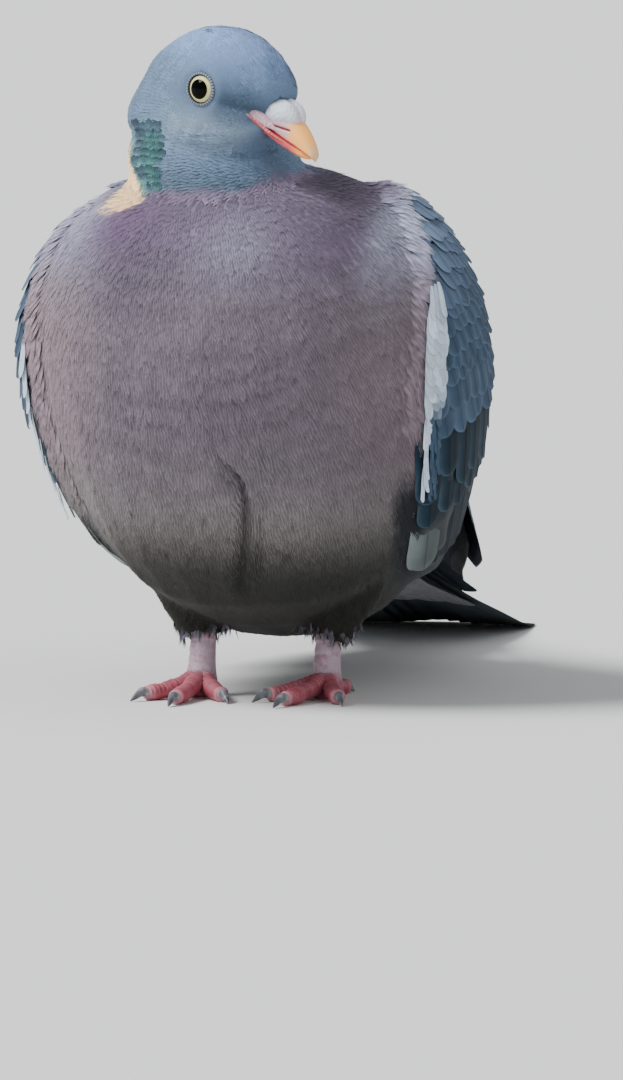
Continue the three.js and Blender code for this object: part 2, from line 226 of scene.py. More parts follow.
# %% Melt the solids together
FLESH = ["head", "neck", "trunk", "thigh_left", "thigh_right"]
WINGS = ["wing_left", "wing_right"]
SWELL = 0.3 * MM
VOXEL = 1.25 * MM


def melted(names):
    bm = bmesh.new()
    for name in names:
        bm.from_mesh(nodes[name].data)
    bmesh.ops.remove_doubles(bm, verts=bm.verts[:], dist=1e-6)
    bm.normal_update()
    for vert in bm.verts:
        vert.co += vert.normal * SWELL
    mesh = bpy.data.meshes.new("solids")
    bm.to_mesh(mesh)
    bm.free()
    lump = bpy.data.objects.new("solids", mesh)
    bpy.context.collection.objects.link(lump)
    remesh = lump.modifiers.new("remesh", "REMESH")
    remesh.mode = "VOXEL"
    remesh.voxel_size = VOXEL
    ready = lump.evaluated_get(bpy.context.evaluated_depsgraph_get())
    result = bpy.data.meshes.new_from_object(ready)
    bpy.data.objects.remove(lump)
    result.name = "skin"
    return result


skin_mesh = melted(FLESH + WINGS)
print("melted skin has", len(skin_mesh.vertices), "points")

# %% Iron out the facets
TO_AND_FRO = [0.5, -0.52] * 14
FILLING_PASSES = 70
pairs = np.empty(len(skin_mesh.edges) * 2, np.int32)
skin_mesh.edges.foreach_get("vertices", pairs)
pairs = pairs.reshape(-1, 2)


def neighbour_mean(points):
    total = np.zeros_like(points)
    for axis in range(3):
        total[:, axis] = np.bincount(pairs[:, 0], points[pairs[:, 1], axis], len(points))
        total[:, axis] += np.bincount(pairs[:, 1], points[pairs[:, 0], axis], len(points))
    count = np.bincount(pairs.ravel(), minlength=len(points))
    return total / np.maximum(count, 1)[:, None]


def smoothed(points, share, passes):
    """Moves the points towards their neighbours, where the share is high."""
    for _ in range(passes):
        points = points + 0.5 * share * (neighbour_mean(points) - points)
    return points


def surface_tree(*meshes):
    """A lookup that finds the nearest place on the surface of some meshes."""
    bm = bmesh.new()
    for mesh in meshes:
        bm.from_mesh(mesh)
    tree = BVHTree.FromBMesh(bm)
    bm.free()
    return tree


def solids_tree(names):
    return surface_tree(*[nodes[name].data for name in names])


FAR = 0.05


def distance(tree, points):
    """From each point to the surface, or FAR where that is further off."""
    return np.array([tree.find_nearest(Vector(p), FAR)[3] or FAR for p in points])


skin_points = read_points(skin_mesh)
for step in TO_AND_FRO:
    skin_points += step * (neighbour_mean(skin_points) - skin_points)
# The furrow between the trunk and each folded wing is filled in, as feathers bridge it in life.
wing_tree, flesh_tree = solids_tree(WINGS), solids_tree(FLESH)
furrow = np.maximum(distance(wing_tree, skin_points), distance(flesh_tree, skin_points))
furrow = (1 - ramp(furrow, 3 * MM, 6 * MM))[:, None]
skin_points = smoothed(skin_points, furrow, FILLING_PASSES)
write_points(skin_mesh, skin_points)
skin_normals = read_normals(skin_mesh)
coat_tree = surface_tree(skin_mesh)  # the outer surface, for feathers that follow it
print("skin box", skin_points.min(0).round(3), skin_points.max(0).round(3))

# %% [markdown]
# ## Lines through the body
# Feathers lie the way a hand would stroke the bird: from the bill over the head, down the neck and
# breast, and back to the tail. A line down the middle of the body gives that direction everywhere, and
# on the face it is simply "away from the bill". The same line, with the angle around it, unwraps the
# skin for the feathers' own map.

# %% The middle line and the lie of the feathers
MIDDLE_LINE = [[-3, -30, 186], [-7, -28, 172], [-8, -26, 158], [-4, -16, 142], [0, -4, 122], [-1, 26, 92],
               [-1, 62, 64], [-1, 100, 44], [-1, 138, 34], [0, 180, 20], [0, 246, 2]]
line_share = np.linspace(0, 1, 160)
line_points = place(curve(MIDDLE_LINE, line_share))
line_ways = unit(np.gradient(line_points, axis=0))
BILL_TIP = on_head([0, -38, -6])
BILL_ROOT = on_head([0, -22, 0])


def follow(points, chunk=4000):
    """For each point: how far along the middle line it is, the line's place there and its direction."""
    share, spot, way = [], [], []
    for start in range(0, len(points), chunk):
        part = points[start : start + chunk]
        gap = np.linalg.norm(part[:, None] - line_points[None], axis=2)
        weight = np.exp(-(((gap - gap.min(1, keepdims=True)) / (9 * MM)) ** 2))
        weight /= weight.sum(1, keepdims=True)
        share.append(weight @ line_share)
        spot.append(weight @ line_points)
        way.append(weight @ line_ways)
    return np.concatenate(share), np.vstack(spot), unit(np.vstack(way))


def face_share(points):
    """1 on the face and crown, fading to 0 down the neck."""
    return ramp(np.linalg.norm(head_mm(points), axis=1), 38, 28)


def toward_back(way):
    """Square to the middle line, towards the bird's back."""
    return unit(np.cross(np.broadcast_to([1.0, 0, 0], way.shape), way))


def backward(out, way):
    """1 on the middle of the back, 0 at the sides, -1 on the middle of the belly."""
    return (out * toward_back(way)).sum(1) / np.maximum(np.linalg.norm(out, axis=1), 1e-9)


def flat_part(ways, normals):
    """What is left of each way without the part that points off the surface."""
    return ways - normals * (ways * normals).sum(1, keepdims=True)


def lie(points, normals):
    """The way the feathers point, flat on the skin."""
    _, _, way = follow(points)
    from_bill = unit(points - BILL_TIP)
    return unit(flat_part(mix(way, from_bill, face_share(points)), normals))


def unwrapped(points):
    """A flat map of the skin: along the middle line, and around it."""
    share, spot, way = follow(points)
    out = points - spot
    angle = np.arctan2(out[:, 0], (out * toward_back(way)).sum(1)) / (2 * math.pi)
    return np.c_[0.01 + 0.97 * (angle % 1), 0.01 + 0.97 * share]


print("middle line is", np.linalg.norm(np.diff(line_points, axis=0), axis=1).sum().round(3), "m long")

# %% [markdown]
# ## Eye sockets, brow and creases
# The skin needs a few details that the remesh is too coarse to keep: a shallow round seat for each
# eye, a narrow place in front of the eye where the bill's corner starts, and the soft cleft down the
# belly where the fluffed feathers of both sides meet.

# %% Places seen from the eyes
LID_OUT = 3.9  # how far the lids stand out from the eye's middle
EYE_TURN = math.radians(4)


def mirrored(points, side):
    """Swaps left and right where side is -1."""
    return points * np.c_[side, 0 * side + 1, 0 * side + 1]


def turned(points, side, angle):
    """Turns places beside the head about the upright: the eyes look a little forward of square."""
    c, s = math.cos(angle), math.sin(angle)
    x, y, z = points.T
    return np.stack([x * c + side * y * s, y * c - side * x * s, z], axis=1)


def seen_from_eye(head_places):
    """Out, back and up from the nearer eye, and which side that eye is on."""
    side = np.where(head_places[:, 0] < 0, -1, 1)
    local = turned(head_places - mirrored(EYE, side), side, -EYE_TURN)
    return mirrored(local, side), side


def back_from_eye(local, side):
    return turned(mirrored(local, side), side, EYE_TURN) + mirrored(EYE, side)


def from_sight_line(local):
    return np.hypot(local[:, 1], local[:, 2])


print("the eyes are", 2 * EYE[0], "mm apart")

# %% Sculpt the face
BROW_DEPTH, CHEEK_DEPTH, CREASE_PINCH = 1.6, 1.4, 0.24


def above_crease(forward, up):
    """Height over the crease that runs from the bill's root up to the eye."""
    return up - 2.4 - 0.28 * (17 - forward)


head_places = head_mm(skin_points)
forward, up = -head_places[:, 1], head_places[:, 2]
brow = bell(up, 10, 5) * ramp(forward, 12, 21)
cheek = bell(up, -3.5, 3.2) * bell(forward, 19, 5) * ramp(np.abs(head_places[:, 0]), 2, 6)
head_places[:, 1] -= BROW_DEPTH * brow + CHEEK_DEPTH * cheek
crease = ramp(forward, 10, 17) * bell(above_crease(forward, up), 0, 2.0)
head_places[:, 0] *= 1 - CREASE_PINCH * crease
local, side = seen_from_eye(head_places)
from_eye = from_sight_line(local)
facing = (np.abs(head_places[:, 0]) > 5) & (from_eye < 16)
seat = np.where(facing, 1 - ramp(from_eye, 4.4, 15), 0)
local[:, 0] = local[:, 0] * (1 - seat) + (LID_OUT + 0.9) * seat
skin_points = on_head(back_from_eye(local, side))
write_points(skin_mesh, skin_points)
skin_normals = read_normals(skin_mesh)
print("points in the eye seats:", (seat > 0.5).sum())

# %% Sink the skin under its coat
COAT_DEPTH = 1.9
CLEFT_DEPTH, CLEFT_SIDES = 4.0, 1.5
skin_mm = body_mm(skin_points)
face = face_share(skin_points)
from_bill = np.linalg.norm(skin_points - BILL_ROOT, axis=1) / MM
sink = COAT_DEPTH - 1.0 * face - 0.5 * face * (1 - ramp(from_bill, 5, 12))
sink = sink + 0.5 * ramp(skin_mm[:, 2], 90, 40) * (skin_mm[:, 2] < 150)


def belly_cleft(places, width):
    """1 in the cleft down the belly, which leans to the bird's right at its top."""
    x, y, z = places.T
    middle = np.interp(z, [34, 50, 62, 68, 75, 80], [2.5, 7.4, 9.2, 9.4, 3.4, -1])
    return bell(x, middle, width) * (y < 0) * ramp(z, 30, 44) * (1 - ramp(z, 66, 80))


creased = sink + CLEFT_DEPTH * belly_cleft(skin_mm, 1.9) - CLEFT_SIDES * belly_cleft(skin_mm, 12)
skin_points -= skin_normals * (creased * MM)[:, None]
print("skin sunk by", sink.min().round(2), "to", sink.max().round(2), "mm")

# %% Level the skin round the eyes
# Close round each eye the skin is smooth and level, and inside the lids it drops away behind the ball.
relaxed = np.where(facing, ramp(from_eye, 2, 4) * (1 - ramp(from_eye, 7.5, 10)), 0)[:, None]
skin_points = smoothed(skin_points, relaxed, 40)
local, side = seen_from_eye(head_mm(skin_points))
from_eye = from_sight_line(local)
smooth = np.where(facing, 1 - ramp(from_eye, 6.2, 9.5), 0)
level = LID_OUT + 0.1 - 5.5 * (1 - ramp(from_eye, 3.2, 4.4))
local[:, 0] = local[:, 0] * (1 - smooth) + level * smooth
skin_points = on_head(back_from_eye(local, side))
write_points(skin_mesh, skin_points)
skin_normals = read_normals(skin_mesh)
skin_tree = surface_tree(skin_mesh)
print("skin box", skin_points.min(0).round(3), skin_points.max(0).round(3))

# %% [markdown]
# ## The markings and painted shading
# A wood pigeon is blue-grey on the head, mauve on the breast, paler on the belly and slate above, with
# a green patch and a cream patch on each side of the neck. One function gives the colour of any place,
# so skin and feathers always agree. The neck twists with the turned head, so its patches are placed by
# an angle that twists with it. The same function also paints light and shade in: the lower belly, the
# breast below the hood, the side away from the light and a band along the brow are darker, and the
# middle of the upper breast is lighter.

# %% Colours of the plumage
HEAD_BLUE, CROWN_BLUE, CHEEK = tint(111, 136, 166), tint(137, 167, 216), tint(140, 162, 184)
THROAT, NAPE, PAINTED_BROW_SHADE = tint(100, 121, 143), tint(104, 126, 150), tint(76, 96, 118)
BREAST_TOP, BREAST, BREAST_SIDE = tint(138, 124, 150), tint(136, 124, 137), tint(160, 140, 148)
BELLY, VENT, PURPLE = tint(146, 140, 139), tint(152, 152, 158), tint(124, 96, 134)
MANTLE, RUMP, WING_SLATE = tint(88, 98, 112), tint(112, 128, 146), tint(34, 48, 64)
GREEN, CREAM, SHOULDER = tint(98, 160, 158), tint(255, 216, 166) * 1.45, tint(202, 206, 232)
PAINTED_SHADE, PAINTED_BREAST_SHADE = tint(44, 44, 40), tint(104, 92, 112)
RUMP_DARK = RUMP * 0.85
print("breast returns", BREAST.round(3), "of the light")


# %% The neck and its patches
def neck_middle(z):
    return np.interp(z, [140, 154, 167], [-4, -7.5, -10.5]), np.interp(z, [140, 154, 167], [-19, -25, -26])


def neck_twist(z):
    """How far the neck is twisted at each height, in degrees."""
    return np.interp(z, [130, 150, 160, 170], [0, 38, 50, 60])


def neck_side(points):
    """The angle round the twisting neck: 0 in front, -90 on its right side, 90 on its left."""
    x, y, z = body_mm(points).T
    middle_x, middle_y = neck_middle(z)
    angle = np.degrees(np.arctan2(x - middle_x, middle_y - y)) - neck_twist(z)
    return (angle + 180) % 360 - 180


def green_edges(z):
    """Where the green patch starts and ends round the neck, in degrees, at each height."""
    front = np.interp(z, [152.3, 155.2, 158.7, 162.8, 167, 171], [71, 74, 77, 82, 91, 95])
    rear = np.interp(z, [149, 152, 154.6, 158, 162, 167], [75, 84, 95, 105, 116, 126])
    return front, rear


def on_neck(points):
    """1 on the neck, 0 out on the shoulders, which begin nearer to it on its left."""
    x, y, z = body_mm(points).T
    middle_x, middle_y = neck_middle(z)
    reach = np.where(neck_side(points) < 0, 37, 31)
    return 1 - ramp(np.hypot(x - middle_x, y - middle_y), reach, reach + 3)


def green_share(points):
    sideways, z = np.abs(neck_side(points)), body_mm(points)[:, 2]
    front, rear = green_edges(z)
    band = ramp(sideways, front - 2, front + 3) * (1 - ramp(sideways, rear - 2, rear + 2))
    return band * ramp(z, 150, 153) * (1 - ramp(z, 168, 171)) * on_neck(points)


def cream_share(points):
    sideways, z = np.abs(neck_side(points)), body_mm(points)[:, 2]
    _, front = green_edges(z)
    rear = np.interp(z, [145.5, 148, 151, 155], [90, 99, 116, 136])
    band = ramp(sideways, front - 2, front + 2) * (1 - ramp(sideways, rear - 3, rear + 3))
    return band * ramp(z, 144.5, 146.5) * (1 - ramp(z, 161, 165)) * on_neck(points)


print("green patch on", (green_share(skin_points) > 0.5).sum(), "points, cream on",
      (cream_share(skin_points) > 0.5).sum())


# %% The colour of every place
def body_colour(points):
    x, y, z = body_mm(points).T
    share, spot, way = follow(points)
    out = points - spot
    dorsal = backward(out, way)
    colour = mix(BREAST_TOP + 0 * out, BREAST, ramp(z, 146, 118))
    flank = np.where(x > 0, 0.45, 0.8) * ramp(np.abs(x), 26, 50)
    colour = mix(colour, BREAST_SIDE, flank * ramp(z, 40, 80) * (1 - ramp(z, 125, 140)))
    # Painted shade on the breast below the hood, deepest on the bird's left.
    painted_hood_shade = 0.75 * bell(x, 33, 12) * bell(z, 139, 13) + 0.45 * bell(x, -27, 11) * bell(z, 131, 12)
    colour = mix(colour, PAINTED_BREAST_SHADE, painted_hood_shade * (y < 10))
    colour = mix(colour, BELLY, ramp(z, 88, 48))
    # Painted shade: the lower breast and belly darken towards the bird's left, away from the key light.
    colour = colour * (1 - 0.2 * ramp(x, 15, 45) * ramp(z, 100, 80))[:, None]
    # Painted shade: the lower belly darkens towards the floor.
    colour = mix(colour, PAINTED_SHADE, ramp(z, 66, 40) * (share < 0.75))
    colour = mix(colour, VENT, ramp(share, 0.75, 0.82))
    colour = mix(colour, RUMP_DARK, ramp(y, 108, 116) * ramp(z, 27, 30))
    purple = 0.9 * bell(np.abs(neck_side(points)), 78, 34) * bell(z, 141, 8)
    colour = mix(colour, PURPLE, purple * (dorsal < 0.4))
    pale_shoulders = (ramp(x, 35, 45) + 0.6 * ramp(-x, 28, 45)) * bell(z, 146, 16)
    # Painted light: a paler patch on the middle of the upper breast, where the light falls fullest.
    painted_light_middle = 0.3 * bell(x, 6, 11) * bell(z, 138, 9)
    colour = mix(colour, SHOULDER, np.maximum(pale_shoulders, painted_light_middle) * (y < 20))
    back_share = ramp(dorsal, 0.05, 0.4) * ramp(share, 0.2, 0.3)
    return mix(colour, mix(MANTLE + 0 * out, RUMP, ramp(share, 0.55, 0.68)), back_share)


def head_colour(points):
    side, back, up = head_mm(points).T
    colour = mix(HEAD_BLUE + 0 * points, CROWN_BLUE, ramp(up, 6, 20))
    colour = mix(colour, CHEEK, bell(up, -5, 6) * ramp(np.abs(side), 4, 12) * ramp(-back, -10, 4))
    height = above_crease(-back, up)
    # Painted shade: a darker band along the brow, just over the crease from the bill's root to the eye.
    brow = 0.85 * ramp(height, -1, 0.6) * (1 - ramp(height, 0.8, 7.5))
    colour = mix(colour, PAINTED_BROW_SHADE, brow * ramp(-back, 8, 15))
    colour = mix(colour, THROAT, ramp(up, -11, -19))
    return mix(colour, NAPE, 0.8 * ramp(back, 8, 20))


def markings_and_shading(points):
    x, y, z = body_mm(points).T
    left = ramp(x, 4, 14)
    hood_edge = 152.2 + 3.2 * left - 3 * ramp(y, -40, 5) * (1 - left)
    colour = mix(body_colour(points), head_colour(points), ramp(z - hood_edge, -1.5, 1.5))
    colour = mix(colour, GREEN, green_share(points))
    return mix(colour, CREAM, cream_share(points))


print("the crown's colour is", markings_and_shading(on_head([[0, 0, 20]])).round(3))

# %% [markdown]
# ## Finishes
# Feathers are dull and slightly soft at grazing angles, so their Principled shader gets a high
# roughness and some sheen. Their colour comes from the `plumage` attribute, which every feather mesh
# carries. Two effects are shared by several finishes and are node groups: a fine mottling of tone, and
# the slanting barbs that show on a large feather's vane.

# %% Shared effects
def new_group(name, inputs, outputs):
    """An empty node group, with what it is given and what it gives."""
    tree = bpy.data.node_groups.new(name, "ShaderNodeTree")
    for direction, sockets in (("INPUT", inputs), ("OUTPUT", outputs)):
        for label, kind, *value in sockets:
            socket = tree.interface.new_socket(label, in_out=direction, socket_type="NodeSocket" + kind)
            if value:
                socket.default_value = value[0]
    return tree, tree.nodes.new("NodeGroupInput").outputs, tree.nodes.new("NodeGroupOutput").inputs


def node(tree, kind, links=(), **settings):
    """Adds a node; links maps each input to another node's socket or to a plain value."""
    made = tree.nodes.new("ShaderNode" + kind)
    for key, value in settings.items():
        setattr(made, key, value)
    for socket, source in dict(links).items():
        if isinstance(source, bpy.types.NodeSocket):
            tree.links.new(source, made.inputs[socket])
        else:
            made.inputs[socket].default_value = source
    return made


def sums(tree, operation, *values):
    return node(tree, "Math", enumerate(values), operation=operation).outputs[0]


# Mottling: the colour a little lighter and darker from place to place, with a height to match.
mottle, given, gives = new_group(
    "mottle",
    [("Color", "Color", (0.5, 0.5, 0.5, 1)), ("Scale", "Float", 900.0), ("Amount", "Float", 0.2)],
    [("Color", "Color"), ("Height", "Float")],
)
coord = node(mottle, "TexCoord").outputs["Object"]
noise = node(mottle, "TexNoise", {"Vector": coord, "Scale": given["Scale"], "Detail": 3.0, "Roughness": 0.6})
spread = sums(mottle, "MULTIPLY", sums(mottle, "SUBTRACT", noise.outputs["Fac"], 0.5), given["Amount"])
bright = sums(mottle, "ADD", sums(mottle, "MULTIPLY", spread, 2.0), 1.0)
scaled = node(mottle, "VectorMath", {0: given["Color"], 3: bright}, operation="SCALE")
mottle.links.new(scaled.outputs[0], gives["Color"])
mottle.links.new(noise.outputs["Fac"], gives["Height"])

# Barbs: fine parallel lines that slant out from the shaft to both edges of a vane.
BARBS_PER_MM = 8.5 / (2 * math.pi)
WARP_TURNS = 9.0
barbs, given, gives = new_group(
    "vane_barbs",
    [("Color", "Color", (0.5, 0.5, 0.5, 1)), ("Amount", "Float", 0.2)],
    [("Color", "Color"), ("Height", "Float")],
)
vane_place = node(barbs, "Attribute", attribute_name="vane").outputs["Vector"]
across_along = node(barbs, "SeparateXYZ", {0: vane_place}).outputs
slant = sums(barbs, "SUBTRACT", across_along[1], sums(barbs, "ABSOLUTE", across_along[0]))
warp = node(barbs, "TexNoise", {"Vector": vane_place, "Scale": 0.35, "Detail": 2.0}).outputs["Fac"]
lines = sums(barbs, "MULTIPLY", slant, 2 * math.pi * BARBS_PER_MM)
line = sums(barbs, "SINE", sums(barbs, "ADD", lines, sums(barbs, "MULTIPLY", warp, WARP_TURNS)))
bright = sums(barbs, "ADD", sums(barbs, "MULTIPLY", line, given["Amount"]), 1.0)
scaled = node(barbs, "VectorMath", {0: given["Color"], 3: bright}, operation="SCALE")
barbs.links.new(scaled.outputs[0], gives["Color"])
barbs.links.new(line, gives["Height"])
print("shared effects:", [tree.name for tree in bpy.data.node_groups])


# %% Finishes
def finish_named(name, effects, roughness, bump=(0, 0), **constants):
    """A Principled finish whose colour is the plumage's, passed through shared effects.

    A bump is its strength and its depth in millimetres, and the last effect gives its height.
    """
    material = bpy.data.materials.new(name)
    material.use_nodes = True
    tree = material.node_tree
    shader = tree.nodes["Principled BSDF"]
    colour = node(tree, "Attribute", attribute_name="plumage").outputs["Color"]
    for group, settings in effects:
        effect = tree.nodes.new("ShaderNodeGroup")
        effect.node_tree = group
        tree.links.new(colour, effect.inputs["Color"])
        for key, value in settings.items():
            effect.inputs[key].default_value = value
        colour, height = effect.outputs["Color"], effect.outputs["Height"]
    tree.links.new(colour, shader.inputs["Base Color"])
    shader.inputs["Roughness"].default_value = roughness
    if bump[0]:
        ridge = node(tree, "Bump", {"Strength": bump[0], "Distance": bump[1] * MM, "Height": height})
        tree.links.new(ridge.outputs[0], shader.inputs["Normal"])
    for key, value in constants.items():
        shader.inputs[key.replace("_", " ")].default_value = value
    return material


soft_feathers = finish_named(
    "soft_feathers", [(mottle, {"Scale": 700.0, "Amount": 0.16})], 0.8,
    Specular_IOR_Level=0.15, Sheen_Weight=0.14, Sheen_Roughness=0.5,
)
smooth_vanes = finish_named(
    "smooth_vanes", [(mottle, {"Scale": 160.0, "Amount": 0.18}), (barbs, {"Amount": 0.13})], 0.7,
    bump=(0.35, 0.05), Specular_IOR_Level=0.07, Sheen_Weight=0.02,
)
horn = finish_named(
    "horn", [(mottle, {"Scale": 500.0, "Amount": 0.1})], 0.34,
    bump=(0.1, 0.1), Coat_Weight=0.15, Coat_Roughness=0.3,
)
powdery = finish_named(
    "powdery_cere", [(mottle, {"Scale": 1500.0, "Amount": 0.2})], 0.8, bump=(0.35, 0.1),
)
scaly = finish_named(
    "scaly_skin", [(mottle, {"Scale": 1300.0, "Amount": 0.3})], 0.5,
    bump=(0.3, 0.1), Specular_IOR_Level=0.4,
)
print("finishes:", [finish.name for finish in (soft_feathers, smooth_vanes, horn, powdery, scaly)])

# %% [markdown]
# ## Painting the skin
# Little of the skin shows between the feathers, but where it does it must be the colour of the coat,
# painted a shade deeper as the shade between them. Under the wings it is slate, with painted shade lower
# down.

# %% Paint and place the skin
bill_tree = solids_tree(["bill_upper", "bill_lower", "cere"])
to_wing, to_flesh = distance(wing_tree, skin_points), distance(flesh_tree, skin_points)
wing_share = ramp(to_flesh - to_wing, -0.8 * MM, 0.6 * MM)
# Painted shade: the slate under the wings darkens lower down.
painted_shade_under_wing = 0.35 + 0.65 * ramp(body_mm(skin_points)[:, 2], 70, 95)[:, None]
skin_colour = mix(markings_and_shading(skin_points), WING_SLATE * painted_shade_under_wing, wing_share)
# Painted shade: the whole skin is a shade deeper than the coat, so that it reads as shadow between feathers.
paint(skin_mesh, skin_colour * 0.8)
adopt(skin_mesh, soft_feathers, FLESH + WINGS)

# %% [markdown]
# ## Even spots for the feathers
# Feathers grow at even distances, never in clumps. Many random spots are thrown on the skin and each
# is kept only if no kept spot is too near, which gives an even but unordered pattern. A small lookup
# grid keeps that test quick.

# %% Scatter spots on the skin
THROWN = 3.2  # random spots thrown for each place to fill
skin_mesh.calc_loop_triangles()
corners = np.empty(len(skin_mesh.loop_triangles) * 3, np.int32)
skin_mesh.loop_triangles.foreach_get("vertices", corners)
corners = corners.reshape(-1, 3)
legs = skin_points[corners]
areas = np.linalg.norm(np.cross(legs[:, 1] - legs[:, 0], legs[:, 2] - legs[:, 0]), axis=1) / 2
NEXT_CELLS = [(i, j, k) for i in (-1, 0, 1) for j in (-1, 0, 1) for k in (-1, 0, 1)]


def thinned(points, spacing):
    """Which of the points to keep, so that none is nearer to another than the spacing."""
    spots, grid, kept = points.tolist(), {}, []
    for n, (i, j, k) in enumerate(np.floor(points / spacing).astype(int).tolist()):
        x, y, z = spots[n]
        near = (spots[m] for p, q, r in NEXT_CELLS for m in grid.get((i + p, j + q, k + r), ()))
        if all((x - u) ** 2 + (y - v) ** 2 + (z - w) ** 2 >= spacing**2 for u, v, w in near):
            grid.setdefault((i, j, k), []).append(n)
            kept.append(n)
    return kept


def spots_on_skin(wanted, spacing):
    """Even spots where wanted, a value for each skin point, is high. Spacing is in millimetres."""
    spacing *= MM * THIN
    weight = areas * np.asarray(wanted, float)[corners].mean(1)
    total = int(weight.sum() / spacing**2 * THROWN)
    pick = rng.choice(len(corners), total, p=weight / weight.sum())
    a, b = rng.random((2, total))
    a, b = np.where(a + b > 1, 1 - a, a), np.where(a + b > 1, 1 - b, b)
    shares = np.c_[1 - a - b, a, b][..., None]
    points = (skin_points[corners[pick]] * shares).sum(1)
    normals = unit((skin_normals[corners[pick]] * shares).sum(1))
    kept = thinned(points, spacing)
    return points[kept], normals[kept]


print("skin area", (areas.sum() * 1e4).round(1), "square centimetres")

# %% [markdown]
# ## One small feather
# A body feather ends in loose barbs, and those barbs make the fine streaks seen on a pigeon's breast.
# Each barb is a narrow bmesh grid, tapered to its tip and tipped a little to one side or the other, so
# that neighbours catch the light differently. A handful of barbs side by side make one feather. This
# template is in shares of the feather's width and length; arrays lay thousands of copies.

# %% Feather template
def barb_feather(barb_count, segments, seed, ragged=1.0, root_shade_to=0.15, stripes=0.0):
    """Points, faces and tones of one feather, with painted shade at the root; stripes darkens every second
    barb.
    """
    chance = np.random.default_rng(seed)
    bm = bmesh.new()
    tones = []
    for i in range(barb_count):
        middle = (i + 0.5) / barb_count * 2 - 1
        reach = 1 - 0.3 * middle**2 + ragged * chance.uniform(-0.09, 0.05)
        tone, roll = chance.uniform(0.8, 1.15), chance.choice([-1, 1]) * chance.uniform(0.3, 0.7)
        tone *= 1 + stripes * (0.5 - i % 2)
        bend = chance.uniform(-0.05, 0.05)
        for vert in bmesh.ops.create_grid(bm, x_segments=1, y_segments=segments, size=1)["verts"]:
            a, t = vert.co.x, (vert.co.y + 1) / 2
            width = 1.25 / barb_count * (0.75 + 0.25 * min(t * 3, 1)) * (1 - 0.85 * float(ramp(t, 0.4, 1)))
            x = middle * (0.4 + 0.6 * float(ramp(t, 0, 0.6))) + bend * t * t + a * width
            vert.co = (x, 0.02 + t * reach, roll * a * width * 0.35 - 0.1 * x * x)
            # Painted shade: each barb darkens towards its root, where the feathers above cover it.
            tones.append(tone * (0.5 + 0.55 * float(ramp(t, root_shade_to, root_shade_to + 0.55))))
    bm.verts.ensure_lookup_table()
    points = np.array([v.co for v in bm.verts])
    quads = np.array([[v.index for v in f.verts] for f in bm.faces])
    bm.free()
    return points, quads, np.array(tones)


print("a breast feather has", len(barb_feather(7, 3, 3)[1]), "faces")


# %% Meshes from arrays
def copied_quads(quads, point_count, copies):
    """The faces of many joined copies of one form."""
    return (quads[None] + point_count * np.arange(copies)[:, None, None]).reshape(-1, 4)


def array_mesh(name, points, quads, colours, flat):
    """A mesh from arrays, with its plumage colours and its OFBake map."""
    mesh = bpy.data.meshes.new(name)
    mesh.vertices.add(len(points))
    mesh.vertices.foreach_set("co", points.astype(np.float32).ravel())
    mesh.loops.add(quads.size)
    mesh.loops.foreach_set("vertex_index", quads.astype(np.int32).ravel())
    mesh.polygons.add(len(quads))
    mesh.polygons.foreach_set("loop_start", np.arange(0, quads.size, 4, dtype=np.int32))
    mesh.update(calc_edges=True)
    paint(mesh, colours)
    bake = mesh.uv_layers.new(name="OFBake")
    bake.data.foreach_set("uv", flat[quads.ravel()].astype(np.float32).ravel())
    return mesh


# %% Laying small feathers
PIECE_TRIANGLES = 190000  # a joined piece of feathers stays under this
SMALL_PATCH = 0.003  # the side of one feather's square in the OFBake map
HUG_STEPS = 3
ROOT_DIP = 0.2


def hug(tree, spots, normals, ways, reach):
    """The line each feather's middle takes as it hugs a surface, and the surface's way out along it."""
    line, out = [spots], [normals]
    for _ in range(HUG_STEPS):
        found = [tree.find_nearest(Vector(p)) for p in line[-1] + ways * reach / HUG_STEPS]
        line.append(np.array([f[0] for f in found]))
        out.append(unit(np.array([f[1] for f in found]) + out[-1]))
        ways = unit(line[-1] - line[-2])
    return np.stack(line, axis=1), np.stack(out, axis=1)


def hang(spots, normals, ways, reach):
    """The same for feathers that hang free: a straight line."""
    steps = np.arange(HUG_STEPS + 1)[None, :, None] / HUG_STEPS
    line = spots[:, None] + ways[:, None] * (reach[:, None] * steps)
    return line, np.repeat(normals[:, None], HUG_STEPS + 1, axis=1)


